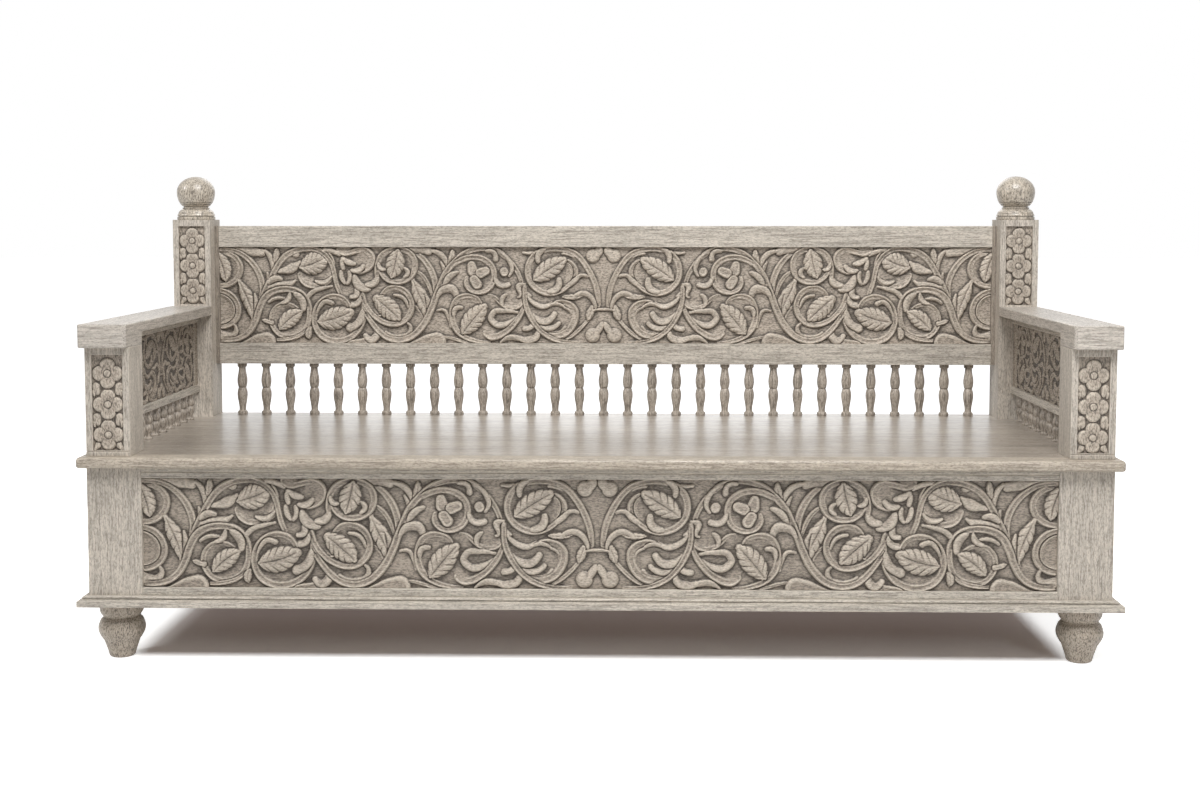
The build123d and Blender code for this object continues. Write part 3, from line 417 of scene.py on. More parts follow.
@dataclass(frozen=True)
class StemSection:
    """Section of a stem, in shares of the depth.

    Formula: a straight stem is a band with two bell-shaped ridges and a trough between them. A curled one
    is a plate that rises from its inner edge to one ridge along its outer edge, and the curl blends the
    two. The edges fall away as the root of one less a power of the share.
    """

    base: float = 0.05
    band: float = 0.30
    twins: tuple[Ridge, Ridge] = (Ridge(0.40, 0.60, 0.24), Ridge(0.34, -0.66, 0.20))
    plate: float = 0.26
    slope: float = 0.26
    slope_power: float = 1.2
    crest: Ridge = Ridge(0.43, 0.60, 0.25)
    lip: Ridge = Ridge(0.11, -0.62, 0.16)
    inner_edge: float = 0.9
    edge_power: int = 6

    def heights(self, at: Across) -> Array:
        """Works out the section at points across a stem.

        Args:
            at: Where the points lie.

        Returns:
            Their heights.
        """
        outer, tilt = at.outer, at.tilt
        fall = np.sqrt(1 - at.share**self.edge_power)
        straight = self.band + self.twins[0].rise(outer) + self.twins[1].rise(outer)
        curled = (self.plate + self.slope * ((outer + 1) / 2) ** self.slope_power + self.crest.rise(outer)
                  + self.lip.rise(outer))
        edge = np.where(outer > 0, fall, self.inner_edge + (1 - self.inner_edge) * fall)
        return self.base + (1 - tilt) * fall * straight + tilt * edge * curled


@dataclass(frozen=True)
class Gouge:
    """Marks that a round gouge leaves along a stroke.

    Formula: the squared cosine of the share across times the number of marks, faded in from half widths
    of `plain` to twice that.
    """

    width: float = 2.6
    plain: float = 4.0

    def marks(self, at: Across) -> Array:
        """The marks, from 0 to 1."""
        count = np.maximum(np.round(at.half / self.width), 1)
        return np.cos(np.pi * at.signed * count) ** 2 * np.clip((at.half - self.plain) / self.plain, 0, 1)


@dataclass(frozen=True)
class LobeSection:
    """Section of a lobe, in shares of the depth: a dome that leans to its outer side, with gouge marks."""

    base: float = 0.07
    dome: float = 0.66
    leaning: float = 0.28
    mark: float = 0.07
    edge_power: float = 3.6
    gouge: Gouge = Gouge()

    def heights(self, at: Across) -> Array:
        """Height of the section at points across a lobe."""
        crown = self.dome + self.leaning * at.tilt * at.outer - self.mark * self.gouge.marks(at)
        return self.base + np.sqrt(1 - at.share**self.edge_power) * crown


@dataclass(frozen=True)
class PetalSection:
    """Section of a petal, in shares of the depth: a dish that rises to its rim, with gouge marks."""

    base: float = 0.06
    dish: float = 0.60
    rim: Ridge = Ridge(0.24, 0.80, 0.22)
    mark: float = 0.05
    edge_power: int = 10
    gouge: Gouge = Gouge()

    def heights(self, at: Across) -> Array:
        """Height of the section at points across a petal."""
        crown = self.dish + self.rim.rise(at.share) - self.mark * self.gouge.marks(at)
        return self.base + crown * np.sqrt(1 - at.share**self.edge_power)


@dataclass(frozen=True)
class LeafShape:
    """A leaf with a scalloped margin, a midrib and slanting veins; sizes in millimetres.

    Formula: the margin is the half width less the square of a saw of the veins' phase. The height rises
    from the midrib as a half sine and falls at the margin, and cuts run in from the margin on the veins.
    Only leaves wider than `veined` have them, and only those wider than `ribbed` a midrib.
    """

    lobe: float = 14.0
    fewest: int = 3
    most: int = 5
    slant: float = 0.80
    slant_limit: float = 1.2
    stagger: float = 0.35
    scallop: float = 0.07
    veined: float = 6.0
    ribbed: float = 4.0
    vein_cut: float = 3.1
    vein_spread: float = 0.066
    vein_start: float = 0.22
    vein_fade: float = 0.4
    midrib_cut: float = 1.5
    midrib_spread: float = 1.2
    bulge: float = 0.07
    bulge_fade: float = 0.4
    plain: float = 0.70
    arch: float = 0.14
    arch_power: float = 0.8
    edge_power: int = 6
    crown: float = 0.92
    base: float = 0.06
    least: float = 0.07

    def surface(self, line: CarvedLine, sample: Array, away: Array, side: Array, depth: float) -> tuple[Array, Array]:
        """Works out how far outside the margin each point is, and its height inside.

        Args:
            line: The leaf's middle line.
            sample: Number of the line's sample nearest to each point.
            away: Distance of each point from the line.
            side: One on the left of the line and minus one on its right.
            depth: Depth of the carving.

        Returns:
            The distances outside the margin, negative inside it, and the heights.
        """
        length, widest, half = line.along[-1], line.half.max(), line.half[sample]
        lobes = min(max(round(length / self.lobe), self.fewest), self.most)
        slant = self.slant * np.minimum(away / half, self.slant_limit) * widest / length
        phase = lobes * (line.along[sample] / length - slant) + self.stagger * (side > 0)
        saw = phase - np.floor(phase)
        veined = widest > self.veined
        half = half * (1 - self.scallop * (2 * saw - 1) ** 2 * veined)
        out = np.clip(away / half, 0, 1)
        vein = bell(np.minimum(saw, 1 - saw), 0.0, self.vein_spread)
        vein = vein * np.clip((out - self.vein_start) / self.vein_fade, 0, 1)
        bulge = self.bulge * np.sin(np.pi * saw) * np.clip(out / self.bulge_fade, 0, 1) * veined
        crown = self.plain + self.arch * np.sin(np.pi * out**self.arch_power) + bulge
        top = depth * (self.crown * crown * np.sqrt(1 - out**self.edge_power) + self.base)
        top = top - self.vein_cut * vein * veined
        top = top - self.midrib_cut * bell(away, 0.0, self.midrib_spread) * (widest > self.ribbed)
        return away - half, np.maximum(top, self.least * depth)


@dataclass(frozen=True)
class FlowerShape:
    """A flower of four petals that dip towards a domed button, in shares of the depth.

    Formula: the outline is the union of four discs. A petal rises from the middle with the distance from
    it and rolls over at the outline, with a notch on the diagonals; the button is part of a ball that
    stands in a ring-shaped hollow. Fine furrows sway along the petals. Spreads and gaps are in
    millimetres, and a fade is how many times the share of the way out, less its start, shows.
    """

    base: float = 0.10
    rise: float = 0.40
    lift: float = 0.52
    lift_power: float = 1.1
    roll_power: int = 7
    notch: float = 0.22
    notch_spread: float = 2.2
    notch_fade: float = 1.6
    notch_start: float = 0.45
    furrow: float = 0.02
    furrow_pace: float = 1.3
    furrow_sway: float = 0.8
    furrow_length: float = 0.9
    furrow_fade: float = 2.0
    furrow_start: float = 0.6
    ring: float = 0.16
    ring_gap: float = 0.8
    ring_spread: float = 1.3
    button: float = 0.50
    dome: float = 0.46

    def surface(self, across: Array, up: Array, radii: tuple[float, ...]) -> tuple[Array, Array, Array]:
        """Works out the flower about its middle.

        Args:
            across: Distance of each point to the right of the middle.
            up: Its distance above the middle.
            radii: How far a petal's middle lies out, its radius, and the button's.

        Returns:
            Which points are inside, how far outside the petals each is, and the heights.
        """
        reach, petal, boss = radii
        along, beside = np.maximum(np.abs(across), np.abs(up)), np.minimum(np.abs(across), np.abs(up))
        away = np.hypot(along - reach, beside) - petal
        middle = np.hypot(across, up)
        share = middle / (reach + petal)
        roll = np.sqrt(1 - np.clip(1 + away / petal, 0, 1) ** self.roll_power)
        notch = bell(along - beside, 0.0, self.notch_spread)
        notch = notch * np.clip(self.notch_fade * share - self.notch_start, 0, 1)
        waves = np.cos(beside * self.furrow_pace + self.furrow_sway * np.sin(along * self.furrow_length))
        furrow = self.furrow * waves * np.clip(self.furrow_fade * share - self.furrow_start, 0, 1)
        petals = roll * (self.rise + self.lift * np.clip(share, 0, 1) ** self.lift_power + furrow)
        ring = bell(middle - boss, self.ring_gap, self.ring_spread)
        petals = self.base + petals - self.notch * notch - self.ring * ring
        button = self.button + self.dome * np.sqrt(np.clip(1 - (middle / boss) ** 2, 0, 1))
        heights = np.where(middle < boss, button, np.maximum(petals, self.base))
        return (away < 0) | (middle < boss), away, heights


SECTIONS: dict[Cut, StemSection | LobeSection | PetalSection] = {
    Cut.RIB: StemSection(), Cut.LOBE: LobeSection(), Cut.PETAL: PetalSection()}


@dataclass(frozen=True)
class Nearby:
    """The part of a grid that a stroke reaches, and the nearest of the line's samples to each of its points."""

    window: tuple[slice, slice]
    across: Array
    up: Array
    away: Array
    sample: Array


@dataclass
class Relief:
    """Carving worked out as heights on a grid over part of a drawing, in drawing millimetres.

    A stroke stands in a groove cut into what it crosses, where that is raised. On the ground a curled stem
    has a bank that slopes down its skirt on the inside, and other strokes a narrow foot. It covers what
    lies under it, and grows out of what its ends meet. The ground heaves a little and silts up near
    carving. Cuts, banks and other heights are shares of the depth.
    """

    low: float
    high: float
    tall: float
    columns: int
    rows: int
    depth: float = DRAWING_DEPTH
    groove: float = 2.4
    groove_cut: float = 0.42
    groove_power: float = 1.3
    raised: float = 0.12
    skirt: float = 20.0
    skirt_power: float = 1.7
    bank: float = 0.30
    foot: float = 0.05
    foot_reach: float = 3.0
    cover: float = 0.75
    stem_end: float = 0.55
    fade_power: float = 0.8
    dot: float = 2.0
    heave: float = 0.05
    silt: float = 0.12
    silt_spread: float = 4.0
    swells: tuple[float, float, float] = (9.1, 13.0, 7.7)
    x: Array = field(init=False)
    y: Array = field(init=False)
    heights: Array = field(init=False)

    def __post_init__(self) -> None:
        """Starts with bare ground."""
        self.x = np.linspace(self.low, self.high, self.columns)
        self.y = np.linspace(0.0, self.tall, self.rows)
        self.heights = np.zeros((self.rows, self.columns))

    def carve(self, strokes: tuple[Stroke, ...]) -> "Relief":
        """Carves strokes in order, so that a later one lies over an earlier one, and heaves the ground.

        Formula: the ground is a product of two sines, one of them bent by a third, and rises a little
        near what stands on it.

        Args:
            strokes: The drawing, the lowest-lying strokes first.

        Returns:
            The relief itself.
        """
        for stroke in strokes:
            if stroke.cut is Cut.FLOWER:
                self._flower(stroke)
            else:
                self._line(CarvedLine(stroke), stroke.cut)
        up, (along, bend, rise) = self.y[:, None], self.swells
        wave = np.sin(self.x[None, :] / along + np.sin(up / bend)) * np.sin(up / rise)
        ground = self.depth * self.heave * (1 + wave) + self.silt * blurred(self.heights, self.silt_spread)
        self.heights = np.maximum(self.heights, ground)
        return self

    def _nearest(self, line: CarvedLine, half: Array) -> Nearby | None:
        """Finds the nearest sample of a line for each grid point near it.

        Args:
            line: The sampled middle line.
            half: Half width taken off the distance at each sample; zeros give the plain distance.

        Returns:
            What the line reaches, or None where it is wholly off the grid.
        """
        reach = line.half.max() + self.skirt
        x0, y0 = line.points.min(0) - reach
        x1, y1 = line.points.max(0) + reach
        left, right = np.searchsorted(self.x, [x0, x1])
        low, high = np.searchsorted(self.y, [y0, y1])
        if right - left < 1 or high - low < 1:
            return None
        across, up = np.meshgrid(self.x[left:right], self.y[low:high])
        best = np.full(across.shape, np.inf)
        sample = np.zeros(across.shape, int)
        for number, (x, y) in enumerate(line.points):
            away = np.hypot(across - x, up - y) - half[number]
            nearer = away < best
            best[nearer] = away[nearer]
            sample[nearer] = number
        return Nearby((slice(low, high), slice(left, right)), across, up, best, sample)

    def _groove(self, away: Array, heights: Array) -> Array:
        """Depth of the groove cut at these distances from a stroke where the heights are raised."""
        slope = np.clip(1 - away / self.groove, 0, 1) ** self.groove_power
        return slope * self.depth * self.groove_cut * (heights > self.raised * self.depth)

    def _line(self, line: CarvedLine, cut: Cut) -> None:
        """Adds one stroke: its own shape inside, a groove in what it crosses, and a slope on the ground.

        Args:
            line: The stroke's sampled line.
            cut: Its kind.
        """
        near = self._nearest(line, np.zeros_like(line.half) if cut is Cut.LEAF else line.half)
        if near is None:
            return
        sample, ahead, spot = near.sample, line.heading[near.sample], line.points[near.sample]
        side = np.sign(ahead[..., 0] * (near.up - spot[..., 1]) - ahead[..., 1] * (near.across - spot[..., 0]))
        if cut is Cut.LEAF:
            outside, top = LeafShape().surface(line, sample, near.away, side, self.depth)
        else:
            outside, half = near.away, line.half[sample]
            share = np.clip((outside + half) / half, 0, 1)
            top = self.depth * SECTIONS[cut].heights(Across(side * share, share, line.lean[sample], half))
        clear = self._clear_of_ends(line, sample, cut)
        away = np.maximum(outside, 0)
        if cut is Cut.RIB:
            top = top * (self.stem_end + (1 - self.stem_end) * clear)
            inner = np.clip(-side * line.lean[sample], 0, 1)
            ground = self.depth * self.bank * inner * np.clip(1 - away / self.skirt, 0, 1) ** self.skirt_power
        else:
            ground = self.depth * self.foot * np.clip(1 - away / self.foot_reach, 0, 1) ** 2
        heights = self.heights[near.window]
        around = np.maximum(heights - self._groove(away, heights) * clear, ground)
        over = np.maximum(top, heights * (1 - self.cover * clear))
        self.heights[near.window] = np.where(outside < 0, over, around)

    def _clear_of_ends(self, line: CarvedLine, sample: Array, cut: Cut) -> Array:
        """How far each sample is from the ends where its stroke grows out of another.

        Args:
            line: The stroke's sampled line.
            sample: Numbers of samples.
            cut: The stroke's kind.

        Returns:
            Zero at the line's ends and one where it is clear of them.
        """
        length, fade = line.along[-1], ENDS.get(cut, 0.0)
        if not fade or length <= self.dot:
            return np.ones(sample.shape)
        to_end = np.minimum(line.along[sample], length - line.along[sample])
        return np.clip(to_end / fade, 0, 1) ** self.fade_power

    def _flower(self, stroke: Stroke) -> None:
        """Adds a flower and the groove round it.

        Args:
            stroke: The flower's stroke.
        """
        across, up = np.meshgrid(self.x - stroke.path[0], self.y - stroke.path[1])
        inside, away, top = FlowerShape().surface(across, up, stroke.widths)
        around = np.maximum(self.heights - self._groove(np.maximum(away, 0), self.heights), 0.0)
        self.heights = np.where(inside, top * self.depth, around)

    def shares(self, soften: float = 0.55) -> Array:
        """The heights as shares of the depth, slightly softened as worn wood is."""
        return np.clip(blurred(self.heights, soften) / self.depth, 0, 1)


def with_hollows(shares: Array) -> Array:
    """Stacks heights with hollows: the weighted sum of the blurred heights less the heights, plus a half."""
    total = sum(weight * (blurred(shares, spread) - shares) for spread, weight in HOLLOW_BLURS)
    return np.stack([shares, np.clip(total + 0.5, 0, 1)])


# ---------------------------------------------------------------- meshes

def new_piece(name: str, points: Array, faces: list[Array], smooth_angle: float = 60.0) -> bpy.types.Object:
    """Makes a mesh object from whole arrays, at the origin.

    Args:
        name: Name of the piece.
        points: Vertex places, n by 3, in metres.
        faces: Arrays of vertex numbers, each with one face per row.
        smooth_angle: Edges that turn by more than this many degrees stay sharp.

    Returns:
        The object, linked to the scene.
    """
    mesh = bpy.data.meshes.new(name)
    sizes = np.concatenate([np.full(len(block), block.shape[1]) for block in faces])
    corners = np.concatenate([block.ravel() for block in faces])
    mesh.vertices.add(len(points))
    mesh.vertices.foreach_set("co", np.ascontiguousarray(points, np.float32).ravel())
    mesh.loops.add(len(corners))
    mesh.loops.foreach_set("vertex_index", corners.astype(np.int32))
    mesh.polygons.add(len(sizes))
    mesh.polygons.foreach_set("loop_start", np.concatenate([[0], np.cumsum(sizes)[:-1]]).astype(np.int32))
    mesh.polygons.foreach_set("loop_total", sizes.astype(np.int32))
    mesh.update(calc_edges=True)
    mesh.validate()
    mesh.shade_smooth()
    mesh.set_sharp_from_angle(angle=math.radians(smooth_angle))
    piece = bpy.data.objects.new(name, mesh)
    bpy.context.scene.collection.objects.link(piece)
    return piece


def point_values(piece: bpy.types.Object, name: str, values: Array) -> None:
    """Stores one number per vertex under a name that a finish can read."""
    layer = piece.data.attributes.new(name, "FLOAT", "POINT")
    layer.data.foreach_set("value", values.astype(np.float32))


def grid_quads(rows: int, columns: int) -> Array:
    """Vertex numbers of the quads of a grid that is stored row by row, anticlockwise from the front."""
    corner = (np.arange(rows - 1)[:, None] * columns + np.arange(columns - 1)).ravel()
    return np.stack([corner, corner + 1, corner + columns + 1, corner + columns], axis=1)


def rim_numbers(rows: int, columns: int) -> Array:
    """Lists the vertex numbers round the rim of a grid.

    Args:
        rows: Its rows.
        columns: Its columns.

    Returns:
        The numbers, anticlockwise from the front.
    """
    bottom = np.arange(columns)
    right = np.arange(1, rows) * columns + columns - 1
    top = (rows - 1) * columns + np.arange(columns - 2, -1, -1)
    left = np.arange(rows - 2, 0, -1) * columns
    return np.concatenate([bottom, right, top, left])


def wall_quads(front: Array, rear: Array) -> Array:
    """Quads between two closed loops of vertex numbers; the front one runs anticlockwise from the front."""
    return np.stack([front, rear, np.roll(rear, -1), np.roll(front, -1)], axis=1)


@dataclass(frozen=True)
class Face:
    """A panel's shown face, upright along Z: its lower left corner, unit direction to the right, and size."""

    corner: tuple[float, float, float]
    across: tuple[float, float, float]
    width: float
    height: float

    def place(self, right: Array, up: Array, out: Array) -> Array:
        """Works out world places.

        Args:
            right: Distances to the right of the corner.
            up: Distances above it.
            out: Distances out of the face.

        Returns:
            The places, n by 3.
        """
        across, rise = np.asarray(self.across, float), np.array([0.0, 0.0, 1.0])
        outward = np.cross(across, rise)
        return (np.asarray(self.corner) + right[:, None] * across + up[:, None] * rise
                + out[:, None] * outward)


@dataclass
class CarvedPanel:
    """A closed panel with carving on its front, and on its rear where rear heights are given.

    Formula: the front is the point right, up, out(right, up), where out is minus the depth of cut; the
    walls step out to the tongue and back in, and the rear is flat or a second carved face. The tongue is
    given by its front and rear depth and its reach. The face keeps a gap inside its opening and a skin
    under its level, and the chisel's waves roughen it. The walls store one crest and one hollow.
    """

    face: Face
    thickness: float
    depth: float
    tongue: tuple[float, float, float] | None = None
    gap: float = 0.0004
    skin: float = 0.0002
    unevenness: float = 0.00022
    waves: tuple[float, ...] = (0.055, 0.024, 0.011, 0.006)
    each: int = 3
    strength: float = 0.25
    wall_crest: float = 0.8
    wall_hollow: float = 0.5

    def build(self, name: str, front: Array, rear: Array | None = None, part: tuple[float, float] = (0.0, 1.0),
              seed: int = 0) -> bpy.types.Object:
        """Builds the panel, or the share of its width that lies within part.

        Args:
            name: Name of the piece.
            front: Heights as shares of the depth and hollows, two layers of rows from the foot up.
            rear: The same for the rear face, seen from behind, or None for a flat one.
            part: The stretch of the width that this piece takes.
            seed: Seed of the slight unevenness left by the chisel.

        Returns:
            The piece, with the point values `crest` and `hollow`.
        """
        rows, columns = front.shape[1:]
        low = self.face.width * part[0] + (self.gap if part[0] == 0 else 0)
        high = self.face.width * part[1] - (self.gap if part[1] == 1 else 0)
        across = np.linspace(low, high, columns)
        up = np.linspace(self.gap, self.face.height - self.gap, rows)
        grid = [axis.ravel() for axis in np.meshgrid(across, up)]
        points = [self.face.place(*grid, self._cut(front[0], grid, seed))]
        faces = [grid_quads(rows, columns)]
        rim = rim_numbers(rows, columns)
        grown_x = np.where(grid[0] == low, -1.0, np.where(grid[0] == high, 1.0, 0.0))
        grown_x[(grid[0] == low) & (part[0] > 0) | (grid[0] == high) & (part[1] < 1)] = 0
        grown_z = np.where(grid[1] == up[0], -1.0, np.where(grid[1] == up[-1], 1.0, 0.0))
        loops = []
        if self.tongue:
            start, stop, reach = self.tongue
            loops += [(start, 0.0), (start, reach + self.gap), (stop, reach + self.gap)]
            if stop < self.thickness:
                loops.append((stop, 0.0))
        if rear is None and (not loops or loops[-1][0] < self.thickness):
            loops.append((self.thickness, 0.0))
        previous, count = rim, rows * columns
        for into, reach in loops:
            spots = self.face.place(grid[0][rim] + grown_x[rim] * reach, grid[1][rim] + grown_z[rim] * reach,
                                    np.full(len(rim), -into))
            numbers = count + np.arange(len(rim))
            points.append(spots)
            faces.append(wall_quads(previous, numbers))
            previous, count = numbers, count + len(rim)
        crest = [front[0].ravel()] + [np.full(len(rim), self.wall_crest)] * len(loops)
        hollow = [front[1].ravel()] + [np.full(len(rim), self.wall_hollow)] * len(loops)
        if rear is None:
            faces.append(previous[::-1][None, :])
        else:
            turned = rear[..., ::-1]
            deep = -self.thickness - self._cut(turned[0], grid, seed + 1)
            points.append(self.face.place(*grid, deep))
            faces.append(count + grid_quads(rows, columns)[:, ::-1])
            faces.append(wall_quads(previous, count + rim))
            crest.append(turned[0].ravel())
            hollow.append(turned[1].ravel())
        piece = new_piece(name, np.vstack(points), faces)
        point_values(piece, "crest", np.concatenate(crest))
        point_values(piece, "hollow", np.concatenate(hollow))
        return piece

    def _cut(self, shares: Array, grid: list[Array], seed: int) -> Array:
        """How far out of the face each point is: never above it, and slightly uneven as hand work is.

        Formula: minus the depth times one less the share, less a sum of sines that run in random
        directions, held between -1 and 1 and moved below the face.

        Args:
            shares: Heights as shares of the depth.
            grid: Distances to the right and up of the face's corner.
            seed: Seed of the sines' directions and phases.

        Returns:
            The distances, in metres.
        """
        dice = np.random.default_rng(seed)
        total = np.zeros(shares.size)
        for length in self.waves:
            for _ in range(self.each):
                turn, phase = dice.uniform(0, 2 * np.pi, 2)
                way = grid[0] * np.cos(turn) + grid[1] * np.sin(turn)
                total += np.sin(way * 2 * np.pi / length + phase) * self.strength
        return -self.skin - self.depth * (1 - shares.ravel()) - self.unevenness * (1 + np.clip(total, -1, 1))


def mirrored(half: Array) -> Array:
    """A whole face from its left half."""
    return np.concatenate([half, half[..., ::-1][..., 1:]], axis=-1)


class Run(Enum):
    """How a turned outline goes from one station to the next."""

    STRAIGHT = "straight"
    WAVE = "wave"        # level at both ends, as between a neck and a belly
    SWELL = "swell"      # steep at the first station, level at the second
    TUCK = "tuck"        # level at the first station, steep at the second


@dataclass(frozen=True)
class Station:
    """A point of a turned outline, in millimetres, and how the outline arrives at it."""

    height: float
    radius: float
    run: Run = Run.STRAIGHT
    steps: int = 1


@dataclass(frozen=True)
class Turning:
    """A shape turned on a lathe, listed from its foot to its top."""

    stations: tuple[Station, ...]

    def outline(self) -> tuple[Array, Array]:
        """Works out the outline.

        Formula: between two stations the height runs evenly with t from 0 to 1, and the radius follows
        t itself, half of one minus the cosine of pi t, the sine of half pi t, or one minus its cosine.

        Returns:
            Heights and radii along it, in millimetres.
        """
        heights, radii = [np.array([self.stations[0].height])], [np.array([self.stations[0].radius])]
        for start, stop in zip(self.stations, self.stations[1:]):
            t = np.linspace(0, 1, stop.steps + 1)[1:]
            ease = {Run.STRAIGHT: t, Run.WAVE: (1 - np.cos(np.pi * t)) / 2, Run.SWELL: np.sin(np.pi * t / 2),
                    Run.TUCK: 1 - np.cos(np.pi * t / 2)}[stop.run]
            heights.append(start.height + (stop.height - start.height) * t)
            radii.append(start.radius + (stop.radius - start.radius) * ease)
        return np.concatenate(heights), np.concatenate(radii)

    def build(self, name: str, places: list[tuple[float, float, float]], around: int,
              smooth_angle: float = 40.0) -> bpy.types.Object:
        """Turns the outline about Z at each place, with both ends closed by a point on the axis.

        Args:
            name: Name of the piece.
            places: Where each copy's height 0 stands on its axis, in metres.
            around: Faces round the axis.
            smooth_angle: Edges that turn by more than this stay sharp.

        Returns:
            One piece that holds all the copies.
        """
        heights, radii = self.outline()
        angle = np.linspace(0, 2 * np.pi, around, endpoint=False)
        ring = np.stack([np.cos(angle), np.sin(angle)], axis=1)
        body = np.concatenate([radii[:, None, None] * ring, np.repeat(heights, around).reshape(-1, around, 1)], axis=2)
        ends = np.array([[0, 0, heights[0]], [0, 0, heights[-1]]])
        single = np.vstack([body.reshape(-1, 3), ends]) * MM
        levels = len(heights)
        first = np.arange(levels - 1)[:, None] * around + np.arange(around)
        second = np.arange(levels - 1)[:, None] * around + (np.arange(around) + 1) % around
        quads = np.stack([first, second, second + around, first + around], axis=-1).reshape(-1, 4)
        wheel = np.stack([np.arange(around), (np.arange(around) + 1) % around], axis=1)
        foot = np.column_stack([wheel[:, ::-1], np.full(around, levels * around)])
        top = np.column_stack([wheel + (levels - 1) * around, np.full(around, levels * around + 1)])
        offsets = np.arange(len(places)) * len(single)
        points = (np.asarray(places)[:, None, :] + single).reshape(-1, 3)
        faces = [(offsets[:, None, None] + block).reshape(-1, block.shape[1]) for block in (quads, foot, top)]
        return new_piece(name, points, faces, smooth_angle)


# ---------------------------------------------------------------- finishes

class Grain(Enum):
    """The axis that the wood's fibres run along."""

    ALONG_X = 0
    ALONG_Y = 1
    ALONG_Z = 2

    def drawn_out(self, share: float) -> tuple[float, float, float]:
        """The scale of a pattern along X, Y and Z that makes it one over the share longer along the fibres."""
        return tuple(share if axis == self.value else 1.0 for axis in range(3))


def linear(red: float, green: float, blue: float) -> Tone:
    """Turns a colour given as 0 to 255 on screen into the numbers that a shader takes, by the sRGB curve.

    Args:
        red: Level of red.
        green: Level of green.
        blue: Level of blue.

    Returns:
        The shader's red, green, blue and alpha.
    """
    def one(level: float) -> float:
        """One channel."""
        share = level / 255
        return share / 12.92 if share <= 0.04045 else ((share + 0.055) / 1.055) ** 2.4
    return one(red), one(green), one(blue), 1.0


class Nodes:
    """A node tree that is laid out one call at a time."""

    def __init__(self, tree: bpy.types.NodeTree) -> None:
        """Takes the tree that the nodes go into."""
        self.tree = tree

    def node(self, kind: str, output: str | int, inputs: dict[str | int, Value], **settings: str) -> Socket:
        """Adds a node.

        Args:
            kind: Blender's name for it, without the usual start.
            output: Which of its outputs is wanted.
            inputs: What feeds its inputs: another node's output, or a value.
            settings: Its other settings.

        Returns:
            The output.
        """
        node = self.tree.nodes.new(f"ShaderNode{kind}")
        for name, setting in settings.items():
            setattr(node, name, setting)
        for name, value in inputs.items():
            if isinstance(value, Socket):
                self.tree.links.new(value, node.inputs[name])
            else:
                node.inputs[name].default_value = value
        return node.outputs[output]

    def maths(self, operation: str, first: Value, second: Value = 0.0) -> Socket:
        """A sum, product or other plain operation on two numbers."""
        return self.node("Math", 0, {0: first, 1: second}, operation=operation)

    def seen(self, other: float) -> Socket:
        """Full strength for rays from the camera, gloss and glass, and another strength for the rest.

        Args:
            other: Strength for the rest.

        Returns:
            The strength.
        """
        path = self.tree.nodes.new("ShaderNodeLightPath").outputs
        direct = self.maths("MAXIMUM", path["Is Camera Ray"], path["Is Glossy Ray"])
        direct = self.maths("MAXIMUM", direct, path["Is Transmission Ray"])
        return self.node("MapRange", "Result", {"Value": direct, "To Min": other, "To Max": 1.0})


